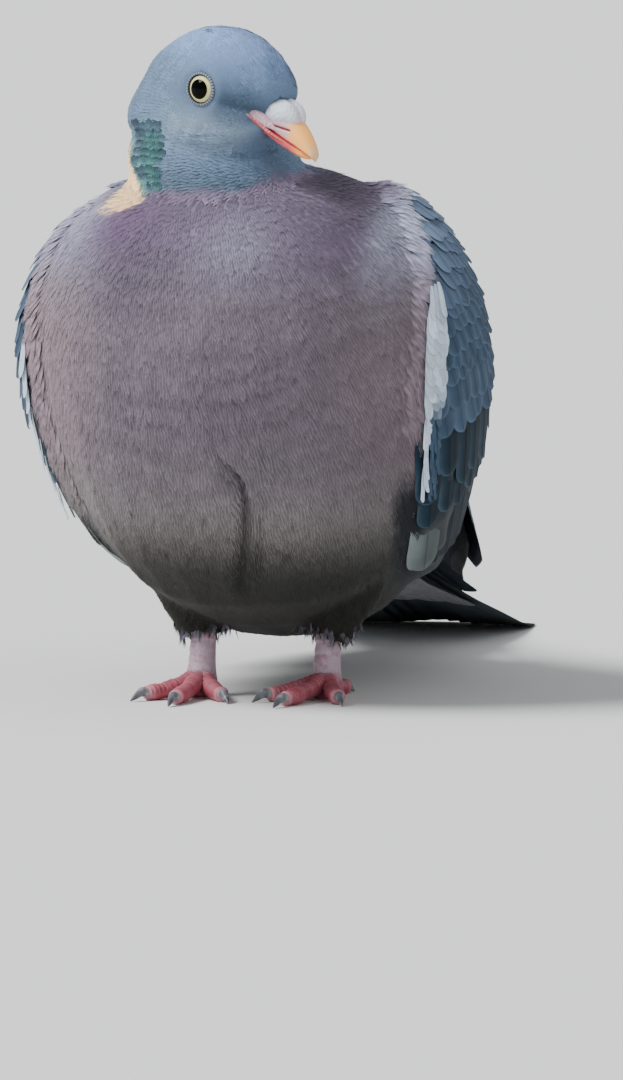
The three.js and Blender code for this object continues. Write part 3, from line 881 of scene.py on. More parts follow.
def lay_feathers(name, template, spots, normals, ways, length, half_width, height, colours, free=False):
    """Copies of one small feather at every spot, hugging the skin or hanging free, as joined meshes."""
    form, quads, tones = template
    across = np.cross(ways, normals)
    reach, wide, height = (np.broadcast_to(v, len(spots))[:, None] * MM for v in (length, half_width, height))
    line, out = hang(spots, normals, ways, reach) if free else hug(skin_tree, spots, normals, ways, reach)
    step = np.clip(form[:, 1], 0, None) * HUG_STEPS
    first = np.minimum(step.astype(int), HUG_STEPS - 1)
    part = (step - first)[None, :, None]
    x, z = form[None, :, 0] * wide, form[None, :, 2] * wide
    z = z + height * np.clip(form[None, :, 1], 0, None) ** 0.7 - ROOT_DIP * MM
    points = line[:, first] * (1 - part) + line[:, first + 1] * part + across[:, None] * x[..., None]
    points = points + (out[:, first] * (1 - part) + out[:, first + 1] * part) * z[..., None]
    shades = colours[:, None] * tones[None, :, None] * rng.uniform(0.95, 1.05, (len(spots), 1, 1))
    flat = unwrapped(spots)[:, None] + SMALL_PATCH * (np.c_[form[:, 0] / 2, form[:, 1] - 0.5])[None]
    per_piece = PIECE_TRIANGLES // (2 * len(quads))
    order = np.argsort(spots[:, 2])
    for number, chosen in enumerate(np.array_split(order, -(-len(order) // per_piece)), 1):
        faces = copied_quads(quads, len(form), len(chosen))
        mesh = array_mesh(f"{name}_{number}", points[chosen].reshape(-1, 3), faces,
                          shades[chosen].reshape(-1, 3), flat[chosen].reshape(-1, 2))
        adopt(mesh, soft_feathers)


def jittered_ways(spots, normals, degrees):
    ways = lie(spots, normals)
    turn = np.radians(rng.normal(0, degrees, len(spots)))[:, None]
    return ways * np.cos(turn) + np.cross(normals, ways) * np.sin(turn)


def waves(points, size, seed):
    """Slow, smooth ups and downs from place to place, between about -1 and 1; size is in millimetres."""
    chance = np.random.default_rng(seed)
    total = 0
    for _ in range(6):
        wave = unit(chance.normal(size=3)) * 2 * math.pi / (size * MM)
        total = total + np.sin(points @ wave + chance.uniform(0, 6.3))
    return total / 3


# %% [markdown]
# ## The body coat
# The head has the smallest feathers, lying almost flat. They grow larger down the neck and breast, are
# loosest on the belly, and on the thighs and vent they are downy. Slow waves in how far they lift give
# the soft folds and scallops that a fluffed pigeon shows. None grow in the eye rings or on the bill.

# %% Where each kind of feather grows
skin_mm = body_mm(skin_points)
share, spot, way = follow(skin_points)
dorsal = backward(skin_points - spot, way)
on_face = face_share(skin_points) > 0.5


def eye_distance(points):
    """Millimetres from the nearer line of sight; 99 for places deep behind the eye."""
    local, _ = seen_from_eye(head_mm(points))
    return np.where(local[:, 0] > -4, from_sight_line(local), 99)


on_bill = distance(bill_tree, skin_points) < 0.9 * MM
head_zone = on_face & (eye_distance(skin_points) > 4.6) & ~on_bill
patch_zone = (green_share(skin_points) > 0.3) | (cream_share(skin_points) > 0.3)
back_zone = (dorsal > 0.25) & (share > 0.2) & (skin_mm[:, 2] < 146) & (np.abs(skin_mm[:, 0]) < 52)
to_thigh = distance(solids_tree(["thigh_left", "thigh_right"]), skin_points)
thigh_zone = (to_thigh < 3 * MM) & (skin_mm[:, 2] < 34)
over_tail = (skin_mm[:, 1] > 116) & (skin_mm[:, 2] > 30)
body_zone = ~on_face & (wing_share < 0.5) & ~back_zone & ~thigh_zone & ~over_tail
print("points on head, body, back:", head_zone.sum(), body_zone.sum(), back_zone.sum())

# %% Head feathers
spots, normals = spots_on_skin(head_zone, 0.8)
near = np.minimum(eye_distance(spots) - 4, np.linalg.norm(spots - BILL_ROOT, axis=1) / MM - 4)
length = 1.1 + 2.2 * ramp(near, 0.3, 14)
tone = 1 + 0.05 * waves(spots, 6, 11) + 0.05 * waves(spots, 2.6, 12) + rng.normal(0, 0.07, len(spots))
height = (0.15 + 0.05 * waves(spots, 5, 13)) * length
lay_feathers("head_feathers", barb_feather(3, 2, 1), spots, normals, jittered_ways(spots, normals, 8),
             length, 0.42 * length, height, markings_and_shading(spots) * tone[:, None])

# %% Tiny feathers round the eyes
rims = (eye_distance(skin_points) > 4.3) & (eye_distance(skin_points) < 7.5)
spots, normals = spots_on_skin(rims, 0.55)
tone = rng.uniform(0.95, 1.3, len(spots))[:, None]
form, quads, tones = barb_feather(3, 2, 12, root_shade_to=0)
ways = jittered_ways(spots, normals, 16)
lay_feathers("eye_rim_feathers", (form, quads, np.maximum(tones, 0.8)), spots, normals, ways,
             rng.uniform(0.8, 1.3, len(spots)), 0.42, 0.25, markings_and_shading(spots) * tone)

# %% Neck, breast and belly feathers
spots, normals = spots_on_skin(body_zone, 1.3)
x, _, z = body_mm(spots).T
length = np.interp(z, [15, 60, 110, 150], [8.5, 8, 6.2, 4.8]) * rng.uniform(0.9, 1.1, len(spots))
wide = np.interp(z, [15, 60, 110, 150], [2.0, 1.9, 1.5, 1.3])
height = np.interp(z, [70, 125], [0.8, 0.55]) + 0.1 * waves(spots, 9, 3) + 0.2 * waves(spots, 34, 4)
# The rows of feathers hang across the breast in shallow garlands, each row's tips a little lifted.
ROW_HEIGHT = 8
garland = (z - 0.008 * (x + 6) ** 2 + 2.5 * waves(spots, 32, 21)) / ROW_HEIGHT
row = np.sin(2 * math.pi * garland) * ramp(z, 58, 80) * (1 - ramp(z, 130, 142))
row = row * (0.6 + 0.4 * waves(spots, 24, 22))
height = height + 0.16 * row
# Painted light and shade: the tone rises and falls with the garland rows, and the belly cleft is darker.
tone = 1 + 0.05 * waves(spots, 26, 5) + 0.06 * row - 0.4 * belly_cleft(body_mm(spots), 2.5)
shade = markings_and_shading(spots) * tone[:, None]
# Beside each wing's lower edge the coat is painted deep slate, as painted shadow over the dark underwing.
gap_top = np.where(x > 0, 76, 62)
gap_width = np.where(x > 0, 9, 5) * MM
gap = (1 - ramp(distance(wing_tree, spots) / gap_width, 0.4, 1)) * ramp(z, gap_top, gap_top - 12)
template = barb_feather(7, 3, 3, root_shade_to=0.4, stripes=0.5)
lay_feathers("breast_feathers", template, spots, normals, jittered_ways(spots, normals, 6),
             length, wide, height, mix(shade, 0.3 * WING_SLATE, 0.95 * gap))

# %% Side feathers
# Long loose feathers of the breast and flank lap over the front edge of each wing.
wing_low = np.where(skin_mm[:, 0] > 0, 84, 58)
lap_zone = (wing_share < 0.7) & (to_wing < 4.5 * MM) & (dorsal < 0.4)
lap_zone = lap_zone & (skin_mm[:, 2] > wing_low) & (skin_mm[:, 1] < 70)
spots, normals = spots_on_skin(lap_zone, 1.3)
ways = jittered_ways(spots, normals, 12)
lay_feathers("side_feathers", barb_feather(5, 4, 9, root_shade_to=0), spots, normals, ways,
             rng.uniform(5.5, 8, len(spots)), 1.3, rng.uniform(1.0, 1.7, len(spots)),
             markings_and_shading(spots) * 0.97)

# %% Nape feathers
# Where the nape runs onto the back, its last feathers lap over the roots of the first broad ones.
nape = (dorsal > 0.1) & (skin_mm[:, 2] > 141) & (skin_mm[:, 2] < 151) & ~patch_zone & ~on_face
spots, normals = spots_on_skin(nape, 1.5)
ways = jittered_ways(spots, normals, 10)
lay_feathers("nape_feathers", barb_feather(5, 4, 10, root_shade_to=0), spots, normals, ways,
             rng.uniform(6, 9, len(spots)), 1.6, rng.uniform(1.6, 2.6, len(spots)),
             markings_and_shading(spots))

# %% Thigh down
spots, normals = spots_on_skin(thigh_zone, 1.2)
ways = jittered_ways(spots, normals, 10)
lay_feathers("thigh_down", barb_feather(6, 3, 4), spots, normals, ways,
             rng.uniform(5, 7.5, len(spots)), 1.4, 0.7, markings_and_shading(spots) * 1.05)

# %% Thigh wisps
# Pale wisps hang from the end of each thigh over the shank.
WISP_PALE = tint(140, 136, 152)
spots, normals = spots_on_skin(thigh_zone & (skin_mm[:, 2] < 22), 1.3)
down = unit(np.array([0, -0.1, -1]) - 0.5 * normals * [1, 1, 0] + rng.normal(0, 0.28, (len(spots), 3)))
# Each wisp is a random mix of a pale colour and painted shade.
wisp = mix(PAINTED_SHADE * 1.5 + 0 * spots, WISP_PALE, rng.uniform(0, 0.9, len(spots)))
lay_feathers("thigh_wisps", barb_feather(4, 3, 7), spots, normals, down,
             rng.uniform(2.5, 4.5, len(spots)), 0.8, 0.6, wisp, free=True)


# %% [markdown]
# ## One large feather
# Wing, back and tail feathers are whole vanes: flat blades with a shaft down the middle, a rounded tip
# and, on this bird, a paler fringe. Each is a bmesh grid, closer set at its edges, its shaft and its
# tip, shaped by plain arithmetic. Every feather's points also keep their place on the vane, so that the
# finish can draw its slanting barbs.

# %% Vane template
# Where the grid's lines lie: from edge to edge of the vane, and from its root to its tip.
ACROSS = np.array([-1, -0.88, -0.5, -0.08, 0, 0.08, 0.5, 0.88, 1])
ALONG = np.array([0, 0.1, 0.2, 0.3, 0.4, 0.48, 0.56, 0.62, 0.69, 0.76, 0.83, 0.89, 0.94, 0.98, 1])
TIP_ROW = 0.62  # from here on, the rows lie in the rounded tip


def vane_grid():
    bm = bmesh.new()
    bmesh.ops.create_grid(bm, x_segments=len(ACROSS) - 1, y_segments=len(ALONG) - 1, size=1)
    u = np.array([ACROSS[round((v.co.x + 1) / 2 * (len(ACROSS) - 1))] for v in bm.verts])
    v = np.array([ALONG[round((v.co.y + 1) / 2 * (len(ALONG) - 1))] for v in bm.verts])
    quads = np.array([[v.index for v in f.verts] for f in bm.faces])
    bm.free()
    return u, v, quads


VANE_U, VANE_V, VANE_QUADS = vane_grid()
SHAFT = VANE_U == 0
VANE_SQUARE = np.stack([VANE_U / 2, VANE_V - 0.5], axis=1)


def column(values, count):
    return np.broadcast_to(np.asarray(values, float), count)[:, None]


def vane_outline(count, length, half_width, tip=1.0, root=0.5):
    """Across, along and half-width of every point of each vane, in millimetres."""
    length, half_width, tip = column(length, count), column(half_width, count), column(tip, count)
    start = np.maximum(1 - tip * half_width / length, 0.3)
    rest = np.clip((VANE_V - TIP_ROW) / (1 - TIP_ROW), 0, 1)
    share = start * np.minimum(VANE_V / TIP_ROW, 1) + (1 - start) * rest
    wide = half_width * (root + (1 - root) * ramp(share, 0, 0.4)) * np.sqrt(np.maximum(1 - rest**2, 0.0006))
    return VANE_U * wide, share * length, wide


def vane_colours(outline, base, fringe, fringe_mm=0.6, centre=0.0, root_dark=0.45, shaft=0.75,
                 strength=(0.35, 0.8)):
    """Painted shade at the root, darker down the middle, a thin dark shaft, and a fringe round the edge."""
    _, y, wide = outline
    from_edge = np.minimum(wide * (1 - np.abs(VANE_U)), (y.max(1, keepdims=True) - y) * 1.2)
    edge = 1 - ramp(from_edge, 0.1, np.maximum(column(fringe_mm, len(base)), 0.15))
    edge = edge * ramp(VANE_V, 0.25, 0.6) * rng.uniform(*strength, (len(base), 1))
    # Painted shade: the root is darker where the feathers above cover it.
    tone = (1 - root_dark) + root_dark * ramp(VANE_V, 0, 0.45)
    tone = tone * (1 - centre * (1 - ramp(np.abs(VANE_U), 0.1, 0.8)))
    tone = tone * np.where(SHAFT, shaft, 1)
    everywhere = 0 * y[..., None]
    fringe = np.broadcast_to(fringe, base.shape)[:, None]
    return mix(base[:, None] + everywhere, fringe + everywhere, edge) * tone[..., None]


print("one vane has", len(VANE_QUADS), "faces")

# %% Laying vanes
MANTLE_PATCH, VANE_PATCH, LONG_PATCH = 0.003, 0.02, 0.03  # sides of a vane's square in the OFBake map
CAMBER, SHAFT_RISE = 0.06, 0.12
vane_store = []


def keep_vanes(points, colours, outline, seed, flat, flat_size):
    """Stores vanes until they are joined, with their points' places on the vane and in the flat map."""
    x, y, _ = outline
    on_vane = np.stack([x, y + seed, seed + 0 * x], axis=2)
    vane_store.append((points, colours, on_vane, flat[:, None] + flat_size * VANE_SQUARE[None]))


def lay_vanes(roots, ways, normals, outline, heights, colours, flat, flat_size):
    """Presses vanes onto the coat's surface; heights, at root and tip, are millimetres off it."""
    x, y, wide = outline
    across = unit(np.cross(ways, normals))
    points = roots[:, None] + (across[:, None] * x[..., None] + ways[:, None] * y[..., None]) * MM
    found = [coat_tree.find_nearest(Vector(p)) for p in points.reshape(-1, 3)]
    normal = np.array([f[1] for f in found]).reshape(points.shape)
    points = np.array([f[0] for f in found]).reshape(points.shape)
    normal = unit(normal + 0.6 * normals[:, None])
    low, high = (column(h, len(roots)) for h in heights)
    lift = low + (high - low) * VANE_V - CAMBER * wide * VANE_U**2 + SHAFT_RISE * SHAFT
    points = points + normal * (lift * MM)[..., None]
    shades = colours * rng.uniform(0.9, 1.1, (len(roots), 1, 1))
    keep_vanes(points, shades, outline, rng.uniform(0, 400, (len(roots), 1)), flat, flat_size)


def join_vanes(name, replaces=()):
    """Joins every kept batch into one piece and empties the store."""
    points, shades, on_vane, flat = (np.concatenate([batch[i] for batch in vane_store]) for i in range(4))
    vane_store.clear()
    count, size = points.shape[:2]
    faces = copied_quads(VANE_QUADS, size, count)
    mesh = array_mesh(name, points.reshape(-1, 3), faces, shades.reshape(-1, 3), flat.reshape(-1, 2))
    vane = mesh.attributes.new("vane", "FLOAT_VECTOR", "POINT")
    vane.data.foreach_set("vector", on_vane.astype(np.float32).ravel())
    print(name, "has", count, "feathers")
    adopt(mesh, smooth_vanes, replaces)


# %% [markdown]
# ## Places on the folded wing
# The wing lies along the trunk, so its feathers are placed by how far back along the trunk they root
# and by the angle round it from the back. The small ones are pressed onto the smooth surface found
# before the skin was sunk, tips riding a little higher than roots, as roof tiles do. The long ones
# follow the wing's dome in a formula instead, because their free ends hang past its edge.

# %% Places on the trunk and wing
BACK_LINE = [[0, -22, 160], [41.5, 8, 155], [59.5, 38, 134], [61.5, 64, 107], [51, 88, 78], [36, 108, 57],
             [22, 126, 43], [0, 138, 35]]
BELLY_LINE = [[0, -22, 160], [0, -58, 144], [0, -77, 112], [0, -69, 72], [0, -38, 33], [0, 22, 14],
              [0, 80, 17], [0, 138, 35]]
OFF_TRUNK = 7  # places on the wing are sought from this far out


def trunk_spot(t, degrees, lift=0.0):
    """A place on the trunk; degrees run from the back, 0, round either side to the belly, 180."""
    angle = np.radians(degrees)
    back, belly = curve(BACK_LINE, t), curve(BELLY_LINE, t)
    from_back = (1 - np.cos(angle)) / 2
    x = (back[..., 0] + lift) * np.sin(angle) - 1
    middle = mix(back, belly, from_back)
    return place(np.stack([x, middle[..., 1], middle[..., 2]], axis=-1))


def on_wing(t, degrees):
    found = [coat_tree.find_nearest(Vector(p)) for p in trunk_spot(t, degrees, OFF_TRUNK)]
    return np.array([f[0] for f in found]), np.array([f[1] for f in found])


def wing_ways(t, degrees, drift):
    """Towards the tail along the wing, turned by a drift in degrees of angle per unit of t."""
    ahead, behind = (trunk_spot(t + s, degrees + s * drift, OFF_TRUNK) for s in (0.02, -0.02))
    return unit(ahead - behind)


def wing_map(t, degrees):
    return np.c_[0.02 + 0.96 * (degrees / 360 % 1), 0.02 + 0.96 * t]


def lay_on_wing(side, t, degrees, length, half_width, base, fringe, heights, drift=0.0, tip=1.0, **look):
    """Small feathers pressed onto the wing's surface."""
    t, degrees = np.asarray(t, float), side * np.asarray(degrees, float)
    count = len(t)
    spots, normals = on_wing(t, degrees)
    ways = wing_ways(t, degrees, side * drift)
    ways = unit(flat_part(ways, normals) + rng.normal(0, 0.05, (count, 3)))
    ways = unit(flat_part(ways, normals))
    outline = vane_outline(count, length * rng.uniform(0.92, 1.08, count), half_width, tip)
    base = np.broadcast_to(base, (count, 3)) * rng.uniform(0.85, 1.12, (count, 1))
    colours = vane_colours(outline, base, fringe, **look)
    lay_vanes(spots, ways, normals, outline, heights, colours, wing_map(t, degrees), VANE_PATCH)


print("the wing's middle line ends at", trunk_spot(0.86, 68, OFF_TRUNK).round(3))


# %% Places over the wing's dome
WING_END = 0.86
SPREAD = 54  # the wing's greatest half-spread, in degrees round the trunk
OVERLAPPED = 1 - 0.55 * ramp(VANE_U, -0.85, 0.2) * (1 - 0.6 * ramp(VANE_V, 0.7, 1))  # the next vane's shade


def shield_edge(t, front):
    """The wing's middle and its half-spread, in degrees round the trunk."""
    s = np.clip((t - front) / (WING_END - front), 0.001, 0.999)
    return 68 - 9 * (s - 0.35), SPREAD * np.sin(math.pi * s) ** 0.62


def over_wing(side, front, t, degrees, height):
    """A place off the wing's rounded shield; degrees may run past its edge, where it hangs free."""
    middle, reach = shield_edge(t, front)
    domed = np.sqrt(np.maximum(1 - ((degrees - middle) / reach) ** 2, 0)) * reach / SPREAD
    signed = side * degrees
    round_way = trunk_spot(t, signed + 1) - trunk_spot(t, signed - 1)
    along_way = trunk_spot(np.minimum(t + 0.01, 1), signed) - trunk_spot(np.maximum(t - 0.01, 0), signed)
    outward = side * unit(np.cross(round_way, along_way))
    return trunk_spot(t, signed) + side * outward * ((2.5 + 5 * domed + height) * MM)[..., None]


def lay_over_wing(side, front, t, degrees, length, half_width, base, fringe, heights, drift, fringe_mm,
                  tip=1.0, **look):
    """Long feathers that follow the wing's dome in its own two directions, with free ends."""
    count = len(t)
    base, fringe = np.broadcast_to(base, (count, 3)), np.broadcast_to(fringe, (count, 3))
    length, fringe_mm = np.broadcast_to(length, count), np.broadcast_to(fringe_mm, count)
    low, high = (np.broadcast_to(h, count) for h in heights)
    for n in range(count):
        outline = vane_outline(1, length[n], half_width, tip)
        x, y, _ = outline
        angle = side * degrees[n]
        rate = np.linalg.norm(trunk_spot(t[n] + 0.1, angle) - trunk_spot(t[n], angle)) / MM / 0.1
        along = np.minimum(t[n] + y[0] / rate, 0.97)
        two_each_way = trunk_spot(along, angle + 2) - trunk_spot(along, angle - 2)
        girth = np.maximum(np.linalg.norm(two_each_way, axis=1) / MM / 4, 0.45)
        around = degrees[n] + drift * (along - t[n]) - x[0] / girth
        height = low[n] + (high[n] - low[n]) * VANE_V - 0.05 * half_width * VANE_U**2 + SHAFT_RISE * SHAFT
        points = over_wing(side, front, along, around, height)[None]
        shade = base[n : n + 1] * rng.uniform(0.9, 1.08)
        seed = rng.uniform(0, 400)
        colours = vane_colours(outline, shade, fringe[n : n + 1], fringe_mm=fringe_mm[n], **look)
        flat = wing_map(t[n : n + 1], side * degrees[n : n + 1])
        keep_vanes(points, colours * OVERLAPPED[None, :, None], outline, seed, flat, LONG_PATCH)


def row_angles(t, front, step, shift, inset=0.0):
    """Angles of one row's feathers, out to the wing's curved front and back edges."""
    middle, reach = shield_edge(t, front)
    count = max(int(2 * reach / step), 1)
    angles = middle - reach + (np.arange(count + 1) + shift) * (2 * reach / count)
    return angles[angles < middle + reach - inset]


print("a row of greater coverts has up to", len(row_angles(0.43, 0.13, 6.5, 0)), "feathers")

# %% Wing colours
COVERT_TOP, COVERT_MID, COVERT_LOW = tint(122, 142, 170), tint(74, 94, 116), tint(36, 57, 72)
COVERT_FRINGE, SCAPULAR, QUILL = tint(104, 126, 152), tint(84, 88, 98), tint(34, 42, 48)
TERTIAL, TERTIAL_FRINGE, QUILL_FRINGE = tint(46, 62, 76), tint(88, 106, 120), tint(150, 164, 166)
PALE_PANEL, PALE_BLUE, WHITE = tint(150, 162, 162), tint(140, 164, 186), tint(222, 238, 255)
print("slate coverts return", COVERT_LOW.round(3), "of the light")


# %% Rows of the wing
def lay_secondaries(side, front):
    """Nine in a staggered fan, under everything else; the lowest shows its pale outer edge."""
    k = np.arange(9)
    lowest = k == 0
    base = mix(mix(np.broadcast_to(COVERT_LOW * 0.8, (9, 3)), TERTIAL, k / 9), PALE_PANEL, 0.8 * lowest)
    edge = mix(np.broadcast_to(PALE_PANEL, (9, 3)), TERTIAL_FRINGE, ramp(k, 0, 1))
    heights = -3.2 + 0.1 * k + 0.7 * lowest, -2.0 + 0.25 * k + 0.7 * lowest
    lay_over_wing(side, front, 0.45 + 0.004 * k, 114 - 6.8 * k, 60 - 0.8 * k, 7.0, base, edge, heights,
                  drift=-20, fringe_mm=np.where(lowest, 3.0, 0.8), tip=1.3, shaft=0.6, root_dark=0.9,
                  strength=(0.4, 0.8))


def lay_greater_coverts(side, front):
    for row, (t, length) in enumerate(((0.43, 34), (0.395, 32))):
        angles = row_angles(t, front, 6.5, 0.5 * row)
        angles = angles[(angles > 46) & (angles < 119)]
        angles = angles + rng.normal(0, 0.6, len(angles))
        roots = np.full(len(angles), t) + rng.normal(0, 0.006, len(angles))
        heights = -2.0 + 0.4 * row, -0.9 + 0.5 * row
        lay_over_wing(side, front, roots, angles, length + rng.normal(0, 1.5, len(angles)), 5.2, COVERT_LOW,
                      mix(COVERT_FRINGE, PALE_BLUE, 0.5), heights, drift=-8, fringe_mm=1.1, shaft=0.7,
                      strength=(0.1, 0.4))


def lay_small_coverts(side, front):
    """Two rows of median coverts, then many rows of lesser coverts up to the shoulder."""
    median = [(0.385, 17, 5.0, 6.2), (0.36, 16, 4.7, 6.0)]
    lesser = [(0.34 - 0.0185 * i, 12.5 - 0.22 * i, 4.3 - 0.08 * i, 5.2) for i in range(11)]
    for row, (t, length, half_width, step) in enumerate(median + lesser):
        if t < front + 0.01:
            continue
        angles = row_angles(t, front, step, 0.5 * (row % 2), 2 * ramp(t, 0.34, 0.28))
        angles = angles[angles > 34]
        angles = angles + rng.normal(0, 0.5, len(angles))
        high = ramp(np.full(len(angles), t), 0.32, 0.16)
        base = mix(np.broadcast_to(COVERT_MID, (len(angles), 3)), COVERT_TOP, high)
        roots = t + rng.normal(0, 0.003, len(angles))
        lay_on_wing(side, roots, angles, length, half_width, base, COVERT_FRINGE, (-1.5, 0.4),
                    fringe_mm=1.7, centre=0.25, strength=(0.1, 0.6))


def lay_white_edge(side, front):
    """The white leading edge, seen beside the breast; on the left it runs on as a thin line."""
    t = np.linspace(0.262, 0.47, 24) if side > 0 else np.linspace(0.34, 0.5, 10)
    middle, reach = shield_edge(t, front)
    ahead = shield_edge(t + 0.05, front)
    slope = (ahead[0] + ahead[1] - middle - reach) / 0.05
    half_width = np.interp(t, [0.26, 0.3, 0.35, 0.385, 0.42], [1.4, 2.4, 2.1, 1.0, 0.6])
    for inward in (3.6, 1.6, -0.4) if side > 0 else (1.0,):
        fade = ramp(t, 0.335, 0.385) * (side > 0 and inward > 0)
        base = mix(mix(WHITE, PALE_BLUE, 0.1) + 0 * t[:, None], COVERT_MID, fade)
        edge = mix(WHITE + 0 * t[:, None], COVERT_MID, fade)
        lay_on_wing(side, t, middle + reach - inward, 12, half_width, base, edge, (-1.0, 0.8),
                    drift=slope, tip=1.6, root_dark=0.05, shaft=0.97)


def lay_tertials(side):
    """Long feathers behind the scapulars, over the folded quills."""
    for row, (t, length) in enumerate(((0.47, 52), (0.44, 44), (0.41, 36))):
        angles = np.linspace(16 + 2 * row, 54, 5)
        lay_on_wing(side, np.full(5, t), angles, length, 8.2, TERTIAL, TERTIAL_FRINGE,
                    (-1.2 + 0.3 * row, 0.4 * row), tip=1.4, fringe_mm=0.9, shaft=0.6)


def lay_scapulars(side):
    """Rows over the wing's upper edge, each lapping over the one behind it."""
    for row in range(9):
        angles = np.arange(7 + 3.4 * (row % 2), 45, 6.8)
        angles = angles + rng.normal(0, 0.9, len(angles))
        roots = 0.40 - 0.028 * row + rng.normal(0, 0.005, len(angles))
        lay_on_wing(side, roots, angles, 20 - 0.9 * row, 5.6 - 0.2 * row, SCAPULAR, COVERT_FRINGE,
                    (-1.0 - 0.06 * row, 0.8), fringe_mm=0.7, centre=0.1)


# %% Feather both wings
SIDES = ((1, "left"), (-1, "right"))
WING_FRONT = {"left": 0.13, "right": 0.18}
wing_cover = []
for side, word in SIDES:
    front = WING_FRONT[word]
    lay_secondaries(side, front)
    lay_greater_coverts(side, front)
    lay_small_coverts(side, front)
    lay_white_edge(side, front)
    lay_tertials(side)
    lay_scapulars(side)
    wing_cover += [vane for batch in vane_store for vane in batch[0]]
    join_vanes(f"wing_coverts_{word}")

# %% Small feathers on the wings' bare edges
every_quad = copied_quads(VANE_QUADS, len(wing_cover[0]), len(wing_cover))
cover_tree = BVHTree.FromPolygons(np.concatenate(wing_cover).tolist(), every_quad.tolist())
to_cover = distance(cover_tree, skin_points)
spots, normals = spots_on_skin((wing_share > 0.4) & (to_cover > 2.6 * MM), 1.6)
z = body_mm(spots)[:, 2]
shade = mix(mix(WING_SLATE + 0 * spots, COVERT_MID, ramp(z, 60, 90)), COVERT_TOP, ramp(z, 96, 130))
shade = shade * (1 + 0.1 * waves(spots, 9, 15))[:, None]
lay_feathers("wing_edges", barb_feather(5, 3, 8), spots, normals, jittered_ways(spots, normals, 9),
             6.5, 1.7, 0.7, shade)
print("bare wing spots", len(spots))

# %% [markdown]
# ## Flight feathers and tail
# Behind each wing's coverts the ten primaries lie folded over one another like a closed fan. Their
# tips are staggered, the longest underneath, each with a pale outer edge. The twelve tail feathers lie
# the same way, the middle pair on top, grey with a broad black end, and rest on the floor.

# %% Folded quills
BLADE_LINE = [[48, 42, 68], [44, 66, 57], [34.5, 100, 44], [25, 138, 34.5], [17.5, 172, 26.5],
              [12, 206, 17.5]]
BLADE_SIZE = [[0, 0, 12], [25, 4.2, 18], [20, 3.8, 28], [12.5, 3, 40], [7.5, 2.2, 52], [0, 0, 60]]
BLADE_LENGTH, TAIL_LENGTH = 190, 165
QUILL_RISE = 0.15


def blade_spot(side, along, high, out):
    """A place in the folded hand: along it, high in millimetres up its flat side, and out from it."""
    middle, lean = curve(BLADE_LINE, along), np.radians(curve(BLADE_SIZE, along)[..., 2])
    x = side * (middle[..., 0] - high * np.sin(lean) + out * np.cos(lean))
    z = middle[..., 2] + high * np.cos(lean) + out * np.sin(lean)
    return place(np.stack([x, middle[..., 1], z], axis=-1))


def blade_vane(side, start, end, high_start, high_end, half_width, out, tip, base, fringe, fringe_mm):
    """One quill from start to end of the blade; high is a share of the blade's half-height."""
    outline = vane_outline(1, BLADE_LENGTH * (end - start), half_width, tip, root=0.6)
    x, y, wide = outline
    share = y[0] / y.max()
    along = start + (end - start) * share
    size = curve(BLADE_SIZE, np.minimum(along, 0.97))
    high = (high_start + (high_end - high_start) * share) * size[:, 0] + x[0]
    lift = out - 0.035 * half_width * VANE_U**2 + QUILL_RISE * SHAFT
    points = blade_spot(side, along, high, lift)[None]
    base = np.array([base]) * rng.uniform(0.9, 1.1)
    colours = vane_colours(outline, base, fringe, fringe_mm=0.5, root_dark=0.1, shaft=0.55)
    colours = mix(colours, fringe, 1 - ramp(wide * (1 + VANE_U), 0.2, fringe_mm))
    flat = np.array([[start, (high_start + 1.5) / 3]])
    keep_vanes(points, colours, outline, rng.uniform(0, 400), flat, VANE_PATCH)


def lay_primaries(side):
    for k in range(10):
        blade_vane(side, 0.1, 0.995 - 0.05 * k, -0.5 + 0.09 * k, -0.15 + 0.07 * k, 5.4, -1.8 + 0.3 * k, 2.2,
                   QUILL, QUILL_FRINGE, 0.7)


def lay_inner_quills(side):
    """The folded secondaries' ends, outside the primaries."""
    for k in range(8):
        blade_vane(side, 0.04, 0.55 - 0.012 * k, -0.62 + 0.17 * k, -0.35 + 0.14 * k, 7.0, 0.9 + 0.2 * k, 1.3,
                   mix(QUILL, COVERT_LOW, 0.6), PALE_BLUE, 0.8)


for side, word in SIDES:
    lay_primaries(side)
    lay_inner_quills(side)
    join_vanes(f"quills_{word}", ["flight_feathers_" + word])

# %% Tail
TAIL_LINE = [[0, 96, 44], [0, 126, 34], [0, 160, 23], [0, 200, 11.2], [0, 232, 2.2], [0, 247, 0.2]]
TAIL_SIZE = [[14, 3, 3], [21, 4.6, 4], [24.5, 3.4, 3.6], [28, 2.1, 2.4], [28.5, 1.4, 0.9], [26, 0.9, 0.6]]
TAIL_GREY, TAIL_BAND, TAIL_BLACK = tint(66, 76, 84), tint(112, 124, 134), tint(20, 24, 28)


